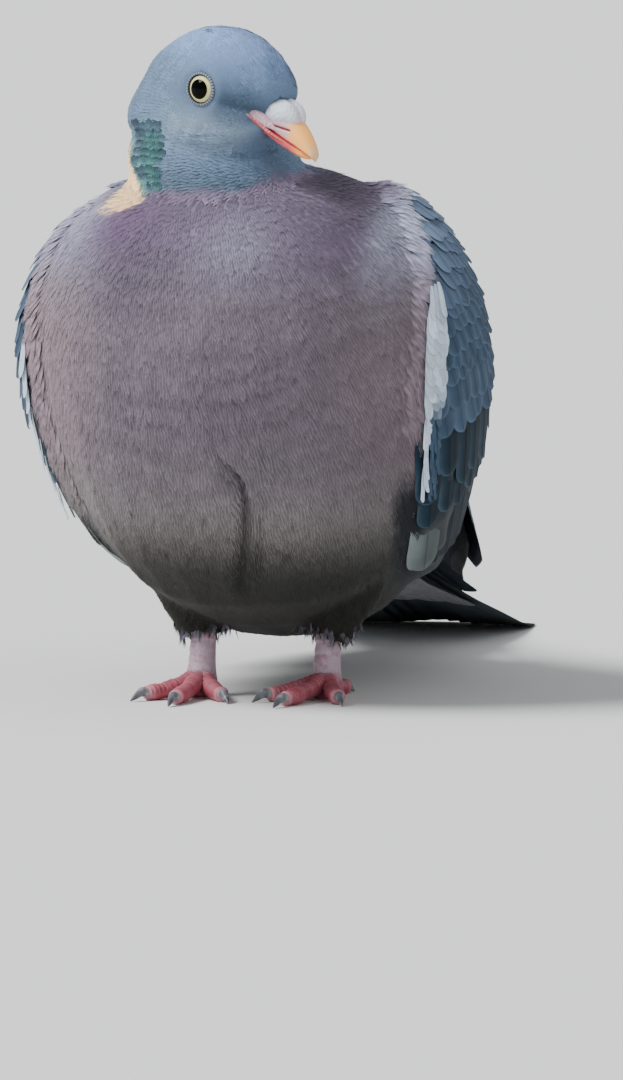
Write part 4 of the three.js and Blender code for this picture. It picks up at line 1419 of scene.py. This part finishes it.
def tail_vane(across, start, end, out, half_width, base, band=True):
    """One tail feather; across runs from -1 to 1 over the tail's half-width at each place along it."""
    outline = vane_outline(1, TAIL_LENGTH * (end - start), half_width, 1.1, root=0.6)
    x, y, _ = outline
    along = start + (end - start) * y[0] / y.max()
    middle, size = curve(TAIL_LINE, along), curve(TAIL_SIZE, along)
    offset = across * np.maximum(size[:, 0] - half_width * 0.8, 2) + x[0]
    share = offset / size[:, 0]
    z = middle[:, 2] - size[:, 2] * share**2 + out * size[:, 1] / 3
    z = z - 0.04 * half_width * VANE_U**2 + QUILL_RISE * SHAFT
    above_floor = np.maximum(z, 0.3 + 0.25 * (out + 3))
    points = place(np.stack([offset, middle[:, 1], above_floor], axis=-1))[None]
    shade = np.array([base]) * rng.uniform(0.93, 1.07)
    colours = vane_colours(outline, shade, base * 1.25, 0.5, root_dark=0.1, shaft=0.6)
    if band:
        edge = along + 0.02 * np.sin(VANE_U * 9 + across * 5)
        colours = mix(colours, TAIL_BLACK, ramp(edge, 0.70, 0.76))
        colours = mix(colours, TAIL_BAND, 0.5 * bell(edge, 0.62, 0.05))
    flat = np.array([[(across + 1.2) / 2.4, 0.1 + 0.8 * start]])
    keep_vanes(points, colours, outline, rng.uniform(0, 400), flat, VANE_PATCH)


# The twelve tail feathers, then the coverts over and under their roots.
for k in range(6):
    for side in (-1, 1):
        reach = 0.985 - 0.004 * k**1.5
        tail_vane(side * (0.1 + 0.18 * k), 0.0, reach, 2.2 - 0.85 * k, 9.5, TAIL_GREY)
for row in range(9):
    for across in np.linspace(-0.8, 0.8, 5 + row % 2) * (0.9 if row % 2 else 1):
        beside = across + rng.normal(0, 0.03)
        end = 0.26 + 0.036 * row + rng.normal(0, 0.007)
        tail_vane(beside, 0.035 * row, end, 4.6 - 0.22 * row - 0.4 * abs(across), rng.uniform(5.6, 6.6),
                  RUMP_DARK, band=False)
        tail_vane(across, 0.02, 0.3 + 0.03 * row, -4.2 + 0.15 * row, 6.5, VENT * 0.9, band=False)
join_vanes("tail_feathers", ["tail"])

# %% [markdown]
# ## Mantle and rump
# Between the wings the back wears broad rounded feathers. They root at even spots, point the way the
# coat lies and are pressed onto the same outer surface as the wing's small feathers.

# %% Mantle and rump feathers
open_back = back_zone & ~on_face & ~patch_zone & (to_cover > 2.2 * MM) & (skin_mm[:, 1] < 115)
spots, normals = spots_on_skin(open_back, 3.3)
ways = jittered_ways(spots, normals, 5)
# A broad feather keeps off the sharp groove beside each wing: its tip must face much as its root does.
tips = np.array([coat_tree.find_nearest(Vector(p))[1] for p in spots + 12 * MM * ways])
even = (tips * normals).sum(1) > 0.6
spots, normals, ways = spots[even], normals[even], ways[even]
count = len(spots)
outline = vane_outline(count, rng.uniform(12, 15, count), 4.4)
base = markings_and_shading(spots) * rng.uniform(0.92, 1.08, (count, 1))
colours = vane_colours(outline, base, base * 1.18, fringe_mm=0.8, centre=0.1)
lay_vanes(spots, ways, normals, outline, (-1.7, -0.2), colours, unwrapped(spots), MANTLE_PATCH)
join_vanes("mantle_feathers")

# %% [markdown]
# ## Neck patches
# Each side of the neck has a green, glossy patch, where barbed feathers sit in close level rows with a
# dark gap under each row: the lifted tips shade it, and the roots are painted darker as deep shade. The
# rows are laid one by one from the top down, their tips lifted. Behind and below lies the cream patch,
# which is coloured by the coat itself.

# %% Green rows
ROWS, TOP_ROW, ROW_PITCH = 9, 168.4, 2.15
FEATHER_STEP = 3.8  # degrees round the neck
VIOLET_GREY = tint(104, 112, 142)
row_spots, row_shades = [], []
for row in range(ROWS):
    tip = TOP_ROW - ROW_PITCH * row + rng.uniform(-0.3, 0.3)
    middle, twist = neck_middle(tip + 3.3), neck_twist(tip + 3.3)
    first, last = green_edges(tip)
    for side in (-1, 1):
        for across in np.arange(first + 3 + 1.8 * (row % 2), last + 3, FEATHER_STEP):
            angle = math.radians(side * across + twist)
            root = tip + 3.3 + rng.uniform(-0.4, 0.3)
            way = Vector((math.sin(angle), -math.cos(angle), 0))
            found = skin_tree.ray_cast(Vector(place([*middle, root])), way)
            if found[0] is not None:
                row_spots.append([*found[0], *found[1]])
                reach = (across - first) / (last - first)
                row_shades.append([bell(reach, 0.4, 0.4), ramp(reach, 0.55, 1), ramp(tip, 170, 164)])
row_spots, (glow, rear, low) = np.array(row_spots), np.array(row_shades).T
spots, normals = row_spots[:, :3], row_spots[:, 3:]
count = len(spots)
shade = mix(HEAD_BLUE + 0 * spots, GREEN, low * (0.35 + 0.65 * glow))
shade = mix(shade, VIOLET_GREY, 0.7 * rear) * rng.uniform(0.8, 1.15, (count, 1))
hanging = np.array([0, 0.2, -1])
down = unit(hanging - normals * (normals @ hanging)[:, None])
form, quads, tones = barb_feather(11, 5, 6, ragged=0.6, root_shade_to=0.5)
# Painted shade: the tones are deepened towards each feather's root, so a dark gap shows under every row.
lay_feathers("green_rows", (form, quads, 1.1 * tones**1.8), spots, normals, down,
             rng.uniform(3.2, 3.9, count), 1.5, rng.uniform(0.7, 1.2, count), shade)

# %% [markdown]
# ## Eyes
# A wood pigeon's eye has a wide round pupil in a pale yellow iris with a dark rim. Each ball is a sphere
# whose rings are centred on the line of sight, so the rings can sit exactly where the colours change.
# Around it lies a narrow lid edge of small grey beads, made by spinning a circle.

# %% Eyeballs
PUPIL, IRIS = 2.9, 3.92
IRIS_PALE, IRIS_EDGE, BLACK, RIM = tint(244, 242, 186), tint(206, 200, 132), tint(3, 3, 4), tint(40, 40, 38)
# Rings of the ball, as distances from the line of sight, closest where one colour meets the next.
RINGS = np.array([0, 0.6, 1.2, 1.8, 2.4, 2.8, 2.88, 2.95, 3.1, 3.3, 3.5, 3.65, 3.75, 3.9, 3.95, 4.1, 4.3, 4.6,
                  5, 5.4, EYE_RADIUS])
RING_ANGLES = np.r_[np.arcsin(RINGS / EYE_RADIUS), np.linspace(math.pi / 2, math.pi, 8)[1:]]
wet = finish_named("wet_eye", [], 0.6, Coat_Weight=0.15, Coat_Roughness=0.02, Specular_IOR_Level=0.0)


def eyeball(side):
    """A ball in rings round the line of sight; its clear front stands a little proud."""
    def point_at(around, along):
        tilt = np.interp(along, np.linspace(0, 1, len(RING_ANGLES)), RING_ANGLES)
        turn = around * 2 * math.pi
        radius = EYE_RADIUS + 0.25 * bell(tilt, 0, 0.5)
        ways = [np.cos(tilt), np.sin(tilt) * np.cos(turn), np.sin(tilt) * np.sin(turn)]
        local = radius[:, None] * np.stack(ways, axis=1)
        return on_head(back_from_eye(local, np.full(len(local), side)))
    return point_at


def eye_colour(local):
    """A black pupil, a pale iris with faint streaks and a darker edge, and a dark rim."""
    from_sight = from_sight_line(local)
    turn = np.arctan2(local[:, 2], local[:, 1])
    streaks = 0.04 * np.sin(23 * turn) + 0.03 * np.sin(41 * turn + 1)
    colour = mix(IRIS_EDGE + 0 * local, IRIS_PALE, ramp(from_sight, PUPIL, 3.2)) * (1 + streaks)[:, None]
    colour = mix(colour, IRIS_EDGE * 0.8, ramp(from_sight, 3.6, 3.95))
    colour = mix(colour, RIM, (from_sight > IRIS) | (local[:, 0] < 0))
    return mix(colour, BLACK, from_sight < PUPIL)


for side, word in SIDES:
    bm = bmesh.new()
    sphere_form(bm, 64, len(RING_ANGLES) - 1, eyeball(side))
    mesh = finish_mesh(bm, "eyeball_" + word)
    local, _ = seen_from_eye(head_mm(read_points(mesh)))
    paint(mesh, eye_colour(local))
    adopt(mesh, wet, ["eye_" + word])

# %% Lids
LID_RADIUS, LID_THICKNESS, BEADS = 4.5, 0.42, 34
LID_PALE, LID_DARK, LID_INSIDE = tint(160, 166, 184), tint(66, 70, 80), tint(40, 40, 42)


def add_lid(bm, side):
    """A circle spun into a ring, then swollen into beads and set round one eye."""
    known = set(bm.verts)
    profile = bmesh.ops.create_circle(bm, segments=12, radius=LID_THICKNESS)["verts"]
    bmesh.ops.translate(bm, verts=profile, vec=(LID_RADIUS, 0, 0))
    edges = list({edge for vert in profile for edge in vert.link_edges})
    upright = Matrix.Rotation(math.pi / 2, 3, "X")
    bmesh.ops.rotate(bm, verts=profile, cent=(0, 0, 0), matrix=upright)
    bmesh.ops.spin(bm, geom=profile + edges, cent=(0, 0, 0), axis=(0, 0, 1), angle=2 * math.pi, steps=168,
                   use_merge=True)
    for vert in set(bm.verts) - known:
        x, y, z = vert.co
        turn, radius = math.atan2(y, x), math.hypot(x, y)
        bead = 1 + 0.2 * math.cos(BEADS * turn)
        radius = LID_RADIUS + (radius - LID_RADIUS) * bead
        local = np.array([[LID_OUT + 0.3 + z * bead, math.cos(turn) * radius, math.sin(turn) * radius]])
        vert.co = on_head(back_from_eye(local, np.array([side])))[0]


bm = bmesh.new()
for side, _ in SIDES:
    add_lid(bm, side)
mesh = finish_mesh(bm, "eyelids")
local, _ = seen_from_eye(head_mm(read_points(mesh)))
turn = np.arctan2(local[:, 2], local[:, 1])
lid = mix(LID_PALE + 0 * local, LID_DARK, 0.5 - 0.5 * np.cos(BEADS * turn))
paint(mesh, mix(lid, LID_INSIDE, 1 - ramp(from_sight_line(local), 4.15, 4.45)))
adopt(mesh, scaly)

# %% [markdown]
# ## Bill
# The horn of the bill hangs between an upper and a lower line, like the solids but far smoother. Its
# edge and the corner of the mouth are red, its sides pink and its hooked end orange. Over its root sit
# the two white, powdery lobes of the cere, with a dark red nostril slit under each.

# %% The bill's lines and colours
CULMEN = [[0, -11, 1], [6.4, -16, 4.8], [5, -22, 6.2], [4.6, -28, 4], [3.8, -33, 1], [2.8, -36.8, -2.5],
          [1.6, -39.1, -5.6], [0, -39.2, -8]]
GAPE = [[0, -11, 1], [6.4, -16, 0.6], [5, -20.5, -0.8], [4.6, -26, -2.6], [3.8, -31, -4.2], [2.8, -35, -5.4],
        [1.6, -38.2, -6.8], [0, -39.2, -8]]
LOWER_EDGE = [[0, -12, -0.4], [6.2, -16, 0.6], [4.9, -21, -0.7], [4.4, -26, -2.5], [3.6, -31, -4.1],
              [2.5, -35, -5.5], [0, -37.4, -7.2]]
CHIN = [[0, -12, -0.8], [0, -16, -1.4], [0, -21, -3.5], [0, -26, -5.3], [0, -31, -6.8], [0, -35, -7.7],
        [0, -37.4, -7.6]]
NOSTRIL = [[5.2, -22.4, -0.2], [4.7, -26.5, -0.35], [4.1, -30.8, -0.45]]
BILL_RED, BILL_PINK, NOSTRIL_RED = tint(226, 92, 92), tint(232, 190, 196), tint(150, 26, 56)
BILL_ORANGE, BILL_TIP_PALE = tint(255, 180, 90) * 1.55, tint(246, 214, 170)
CERE_WHITE, CERE_PINK = tint(232, 242, 255) * 1.1, tint(236, 186, 204)


def boxy(wave, power):
    """A sine or cosine pushed outwards, which squares a round section."""
    return np.sign(wave) * np.abs(wave) ** power


def hung(upper, lower, flat_side):
    """A form hung between two lines, boxy on the side where the two halves of the bill meet."""
    def point_at(around, along):
        angle = around * 2 * math.pi
        top, bottom = curve(upper, along), curve(lower, along)
        middle, half = (top + bottom) / 2, (top - bottom) / 2
        x = top[:, 0] * boxy(np.sin(angle), np.where(np.cos(angle) * flat_side > 0, 0.3, 0.85))
        y = middle[:, 1] + half[:, 1] * np.cos(angle)
        return np.stack([x, y, middle[:, 2] + half[:, 2] * np.cos(angle)], axis=1)
    return point_at


def from_line(points, line):
    """Distance in millimetres to a short line of points, for either side of the head."""
    one_side = points.copy()
    one_side[:, 0] = np.abs(one_side[:, 0])
    fine = curve(line, np.linspace(0, 1, 40))
    return np.linalg.norm(one_side[:, None] - fine[None], axis=2).min(1)


def over_gape(local):
    """Height over the line where the two halves of the bill meet."""
    gape = np.array(GAPE)[1:-1]
    return local[:, 2] - np.interp(-local[:, 1], -gape[:, 1], gape[:, 2])


def bill_colour(local, red):
    forward = -local[:, 1]
    colour = mix(BILL_PINK + 0 * local, BILL_ORANGE, ramp(forward, 28.5, 33))
    colour = mix(colour, BILL_TIP_PALE, 0.8 * ramp(forward, 36, 39.5))
    return mix(colour, BILL_RED, red * (1 - 0.85 * ramp(forward, 31, 37)))


print("the bill's tip is", -CULMEN[-1][1], "mm ahead of the head's middle")

# %% Upper half of the bill
bm = bmesh.new()
sphere_form(bm, 80, 110, hung(CULMEN, GAPE, -1))
mesh = finish_mesh(bm, "bill_upper_horn")
local = read_points(mesh)
height = over_gape(local)
slit = 1 - ramp(from_line(local, NOSTRIL), 0.28, 0.6)
paint(mesh, mix(bill_colour(local, 1 - ramp(height, 0.3, 1.6)), NOSTRIL_RED, slit))
local[:, 0] -= np.sign(local[:, 0]) * 0.5 * slit
# The biting edge is a soft raised rim.
local[:, 0] *= 1 + 0.09 * bell(height, 0.5, 0.7) * ramp(-local[:, 1], 17, 20)
write_points(mesh, on_head(local))
adopt(mesh, horn, ["bill_upper"])

# %% Lower half of the bill
bm = bmesh.new()
sphere_form(bm, 80, 110, hung(LOWER_EDGE, CHIN, 1))
mesh = finish_mesh(bm, "bill_lower_horn")
local = read_points(mesh)
paint(mesh, bill_colour(local, ramp(over_gape(local), -3.4, -1.4)))
write_points(mesh, on_head(local))
adopt(mesh, horn, ["bill_lower"])

# %% Cere
CERE_LINE = [[5.2, -18.8, 2.6], [5.2, -21.5, 3.6], [5.5, -24.3, 3.7], [5.0, -27.5, 3.3], [3.7, -30, 2.7],
             [3, -31.9, 1.8]]
TALLEST = 3.8


def cere_form(around, along):
    """Two lobes grown together: full above the nostrils, with a shallow groove between them."""
    turn = around * 2 * math.pi
    line = curve(CERE_LINE, along)
    stations = [0, 0.04, 0.1, 0.2, 0.4, 0.6, 0.8, 0.92, 0.98, 1]
    tall = np.interp(along, stations, [0, 1.3, 2.4, 3.3, TALLEST, 3.3, 2.1, 1.2, 0.6, 0])
    rounding = np.interp(along, [0, 0.04, 0.1, 0.2, 0.8, 0.92, 0.98, 1], [0, 0.5, 0.8, 1, 1, 0.85, 0.5, 0])
    wide = line[:, 0] * rounding
    x, z = wide * boxy(np.sin(turn), 0.85), tall * boxy(np.cos(turn), 0.8)
    groove = bell(x, 0, 1.1) * (np.cos(turn) > 0)
    y = line[:, 1] - 0.25 * z + 0.6 * groove * ramp(along, 0.5, 0.9)
    return on_head(np.stack([x, y, line[:, 2] + z - 0.3 * groove * tall / TALLEST], axis=1))


bm = bmesh.new()
sphere_form(bm, 96, 70, cere_form)
mesh = finish_mesh(bm, "cere_lobes")
shape = read_points(mesh)
pits = waves(shape, 1.1, 21)
shape += read_normals(mesh) * (0.05 * MM * pits + 0.09 * MM * waves(shape, 3.2, 22))[:, None]
write_points(mesh, shape)
local = head_mm(shape)
over_edge = local[:, 2] - np.interp(-local[:, 1], [19, 23.7, 30, 32], [1.8, -0.4, 0.6, 1.0])
white = CERE_WHITE * (1 + 0.05 * pits[:, None]) + 0 * local
colour = mix(white, CERE_PINK, 0.8 * (1 - ramp(over_edge, 0.1, 1.3)))
colour = mix(colour, CERE_PINK, 0.5 * ramp(-local[:, 1], 29.5, 32.2))
specks = ramp(waves(shape, 0.9, 23), 0.35, 0.7) * (1 - ramp(over_edge, 0.6, 2.6))
colour = mix(colour, NOSTRIL_RED, 0.4 * specks)
paint(mesh, mix(colour, CERE_PINK, 0.6 * bell(local[:, 0], 0, 0.5)))
adopt(mesh, powdery, ["cere"])

# %% Corners of the mouth
RED_CORNER = [[8.1, -16.9, 1.7], [6.9, -19.2, 0.4], [5.9, -22.4, -1.3], [5.0, -26, -2.8], [4.2, -30, -4.2]]
PINK_CORNER = [[6.9, -17.6, 2.1], [6.2, -19.3, 1.8], [5.5, -21.6, 1.0], [4.8, -24.2, -0.2],
               [4.3, -27.2, -1.6]]


def fold(corner, thick, tall, side):
    """A soft fold of flesh along one corner line."""
    def point_at(around, along):
        turn = around * 2 * math.pi
        size = np.interp(along, [0, 0.06, 0.3, 0.65, 1], [0, 0.5, 1, 0.9, 0])
        line = curve(np.array(corner) * [side, 1, 1], along)
        out = [side * thick * size * np.sin(turn), 0 * turn, tall * size * np.cos(turn)]
        return on_head(line + np.stack(out, axis=1))
    return point_at


def add_fold(bm, point_at, shade, speck_shade):
    """Pink where it meets the feathers, then its own shade with paler specks."""
    made = sphere_form(bm, 24, 50, point_at)
    places = np.array([v.co for v in made])
    shades = mix(CERE_PINK * 0.95 + 0 * places, shade, ramp(-head_mm(places)[:, 1], 16.5, 20))
    paint_verts(bm, made, mix(shades, speck_shade, 0.6 * ramp(waves(places, 0.9, 31), 0.2, 0.6)))


bm = painted_bmesh()
for side in (-1, 1):
    add_fold(bm, fold(RED_CORNER, 0.6, 0.6, side), BILL_RED, BILL_PINK)
    add_fold(bm, fold(PINK_CORNER, 1.3, 1.8, side), CERE_PINK, CERE_WHITE)
mesh = finish_mesh(bm, "mouth_corners")
adopt(mesh, powdery)

# %% [markdown]
# ## Legs and claws
# The shanks are pale and rough, the toes crimson with a row of broad scales, or scutes, over each top.
# Every limb is a tube along a smooth line. The scutes are a sawtooth in its radius on the upper side,
# each a little proud of the next, with a pale edge. The claws are curved cones of grey horn.

# %% Tubes
def tube(path, radii, up, blunt, skin=None):
    """Points of a rounded tube and its length; skin(walked, turn) adds to its radius, in millimetres."""
    fine = curve(path, np.linspace(0, 1, 60))
    length = np.linalg.norm(np.diff(fine, axis=0), axis=1).sum()

    def point_at(around, along):
        turn = around * 2 * math.pi
        middle = curve(path, along)
        way = unit(curve(path, np.minimum(along + 0.01, 1)) - curve(path, np.maximum(along - 0.01, 0)))
        side = unit(np.cross(way, np.broadcast_to(up, way.shape)))
        top = np.cross(side, way)
        radius = curve(np.c_[radii, radii, radii], along)[:, 0]
        close = np.clip(along / blunt[0], 0, 1), np.clip((1 - along) / blunt[1], 0, 1)
        ends = [np.sqrt(np.maximum(1 - (1 - c) ** 2, 0)) for c in close]
        radius = radius * ends[0] * ends[1]
        if skin is not None:
            radius = radius + skin(along * length, turn) * ends[0] * ends[1]
        return place(middle + radius[:, None] * (side * np.sin(turn)[:, None] + top * np.cos(turn)[:, None]))

    return point_at, length


def scutes(pitch, height, reach=0.2):
    """A sawtooth of scales on the upper side, softened at its step."""
    def skin(walked, turn):
        phase = walked / pitch % 1
        saw = (1 - phase) * ramp(phase, 0, 0.14)
        return height * saw * ramp(np.cos(turn), -reach, reach + 0.4)
    return skin


# %% Parts of a leg
SHANK_PALE, SHANK_PINK = tint(200, 176, 190), tint(176, 96, 116)
TOE_RED, TOE_PALE = tint(160, 34, 54), tint(214, 140, 154)
CLAW_GREY, CLAW_PALE, CLAW_DARK = tint(112, 116, 124), tint(170, 168, 172), tint(56, 56, 60)
SCUTE = 1.7
CLAW_POINT = 1.3  # how far the point runs on past the claw's measured length


def add_shank(bm, x, y):
    path = [[x, y, 0.9], [x, y, 2.4], [x, y + 1, 9], [x, y + 3, 18], [x, y + 4.5, 26], [x, y + 5, 34]]
    point_at, _ = tube(path, [4.6, 5.0, 4.0, 3.7, 4, 4], (0, -1, 0), (0.1, 0.05), scutes(2.3, 0.35, 0.0))
    made = sphere_form(bm, 40, 120, point_at)
    spots = np.array([v.co for v in made])
    shade = mix(SHANK_PINK + 0 * spots, SHANK_PALE, ramp(body_mm(spots)[:, 2], 4, 9))
    speckle = np.abs(waves(spots, 2.2, 8) * waves(spots, 5.5, 18))
    paint_verts(bm, made, mix(shade, SHANK_PINK, 0.4 * ramp(speckle, 0.15, 0.6)))


def add_toe(bm, foot, way, toe, reach):
    """A crimson toe from the foot's middle; the first toe swells at one joint, the fourth at four."""
    heights = [5.0, 4.9, 3.5, 2.45, 2.2, 2.1]
    path = [foot + way * reach * s + [0, 0, h] for s, h in zip([0, 0.15, 0.4, 0.7, 0.92, 1.0], heights)]
    scales = scutes(SCUTE, 0.3)

    def skin(walked, turn):
        return scales(walked, turn) + 0.14 * np.cos(2 * math.pi * toe * walked / reach)

    point_at, length = tube(path, [3.1, 2.75, 2.5, 2.35, 2.2, 1.9], (0, 0, 1), (0.05, 0.07), skin)
    made = sphere_form(bm, 32, int(length * 5.5), point_at)
    spots = np.array([v.co for v in made])
    local = body_mm(spots) - foot
    walked = local @ way * length / reach
    phase = walked / SCUTE % 1
    middle = np.interp(local @ way, np.array([0, 0.4, 0.7, 1]) * reach, [5, 3.4, 2.4, 2.1])
    upper = ramp(local[:, 2] - middle, -0.8, 0.9)
    shade = mix(TOE_RED + 0 * spots, TOE_PALE, 0.3 + 0.15 * waves(spots, 5, 9))
    shade = mix(shade, TOE_PALE, upper * (0.75 * bell(phase, 0.14, 0.12) + 0.2))
    shade = mix(shade, TOE_RED * 0.45, upper * 0.8 * (bell(phase, 0.0, 0.06) + bell(phase, 1.0, 0.06)))
    shade = mix(shade, SHANK_PALE, 1 - ramp(walked, 2.5, 6))
    paint_verts(bm, made, mix(shade, TOE_PALE * 0.9, ramp(walked, length - 3, length)))


def add_claw(bm, foot, way, start, claw):
    """A curved cone of horn, grey with a pale root and a dark point."""
    end = claw + CLAW_POINT
    curl = [(0, 2.3), (1.5, 2.5), (claw * 0.35 + 1, 2.7), (claw * 0.6, 2.5), (claw * 0.9, 1.4), (end, 0.25)]
    path = [foot + way * (start + d) + [0, 0, h] for d, h in curl]
    point_at, _ = tube(path, [1.3, 1.45, 1.4, 1.2, 0.8, 0.12], (0, 0, 1), (0.08, 0.03))
    made = sphere_form(bm, 24, 40, point_at)
    spots = np.array([v.co for v in made])
    out_share = ((body_mm(spots) - foot) @ way - start) / end
    horny = mix(CLAW_PALE + 0 * spots, CLAW_GREY, ramp(out_share, 0.3, 0.45))
    horny = mix(horny, CLAW_DARK, 0.7 * ramp(out_share, 0.6, 0.85))
    paint_verts(bm, made, mix(horny, CLAW_PALE, 0.6 * ramp(waves(spots, 3, 12), 0.2, 0.8)))


# %% Legs
TOES = {1: (13, 7), 2: (21, 7), 3: (29, 8.5), 4: (22, 7)}  # how far each toe reaches, and its claw
FEET = {"left": (19, 1, {1: 168, 2: -40, 3: -12, 4: 22}), "right": (-18, -1, {1: 194, 2: 30, 3: -2, 4: -34})}
CLAW_INSIDE = 2
for word, (x, y, turns) in FEET.items():
    legs_bm, claws_bm = painted_bmesh(), painted_bmesh()
    add_shank(legs_bm, x, y)
    foot = np.array([x, y, 0])
    for toe, (reach, claw) in TOES.items():
        turn = math.radians(turns[toe])
        way = np.array([math.sin(turn), -math.cos(turn), 0])
        add_toe(legs_bm, foot, way, toe, reach)
        add_claw(claws_bm, foot, way, reach - CLAW_INSIDE, claw)
    leg = finish_mesh(legs_bm, "leg_" + word)
    adopt(leg, scaly, ["shank_" + word] + [f"toe_{word}_{n}" for n in TOES])
    claws = finish_mesh(claws_bm, "claws_" + word)
    adopt(claws, horn, [f"claw_{word}_{n}" for n in TOES])

# %% [markdown]
# ## Floor, light and camera
# The bird stands on a wide, plain, pale floor that fills the view behind it. The light is soft, like a
# bright overcast sky: an even grey world, a broad sun from high on the bird's right front, a faint one
# from its left front and no hard shadows. The camera looks from nearly the bird's own height, from far
# off and through a long lens, so that near and far parts keep their true proportions.

# %% Floor
bm = bmesh.new()
bmesh.ops.create_grid(bm, x_segments=1, y_segments=1, size=40)
floor_mesh = finish_mesh(bm, "floor")
floor = bpy.data.objects.new("floor", floor_mesh)
bpy.context.collection.objects.link(floor)
pale = bpy.data.materials.new("pale_floor")
pale.use_nodes = True
pale_shader = pale.node_tree.nodes["Principled BSDF"].inputs
pale_shader["Base Color"].default_value = (0.8, 0.8, 0.79, 1)
pale_shader["Roughness"].default_value = 0.9
floor_mesh.materials.append(pale)
print("floor", [round(v, 1) for v in floor.dimensions])

# %% Light
world = bpy.data.worlds.new("studio")
bpy.context.scene.world = world
world.use_nodes = True
sky = world.node_tree.nodes["Background"].inputs
sky["Color"].default_value = (0.93, 0.97, 1.0, 1)
sky["Strength"].default_value = 0.5


def sun(name, strength, angle, azimuth, elevation):
    """Soft light from a direction: azimuth 0 is in front of the bird, 90 on its left."""
    light = bpy.data.lights.new(name, "SUN")
    light.energy = strength
    light.angle = math.radians(angle)
    lamp = bpy.data.objects.new(name, light)
    bpy.context.collection.objects.link(lamp)
    a, e = math.radians(azimuth), math.radians(elevation)
    came_from = Vector((math.sin(a) * math.cos(e), -math.cos(a) * math.cos(e), math.sin(e)))
    lamp.rotation_euler = came_from.to_track_quat("Z", "Y").to_euler()
    print(name, "from", [round(v, 2) for v in came_from])


sun("key", 4.6, 28, -56, 50)
sun("fill", 0.45, 60, 44, 26)

# %% Camera
AZIMUTH, ELEVATION = math.radians(13), math.radians(5)
RIGHT_OF_FEET, ABOVE_FEET, AWAY = 0.01436, 0.0458, 5.255
camera = bpy.data.objects.new("camera", bpy.data.cameras.new("camera"))
bpy.context.collection.objects.link(camera)
camera.data.lens = 600
camera.data.sensor_width = 36
camera.data.dof.use_dof = False
right = Vector((math.cos(AZIMUTH), math.sin(AZIMUTH), 0))
back = Vector((math.sin(AZIMUTH) * math.cos(ELEVATION), -math.cos(AZIMUTH) * math.cos(ELEVATION),
               math.sin(ELEVATION)))
up = back.cross(right)
camera.location = Vector(place([0, 0, 0])) + right * RIGHT_OF_FEET + up * ABOVE_FEET + back * AWAY
camera.rotation_euler = back.to_track_quat("Z", "Y").to_euler()
bpy.context.scene.camera = camera
print("camera at", [round(v, 3) for v in camera.location])
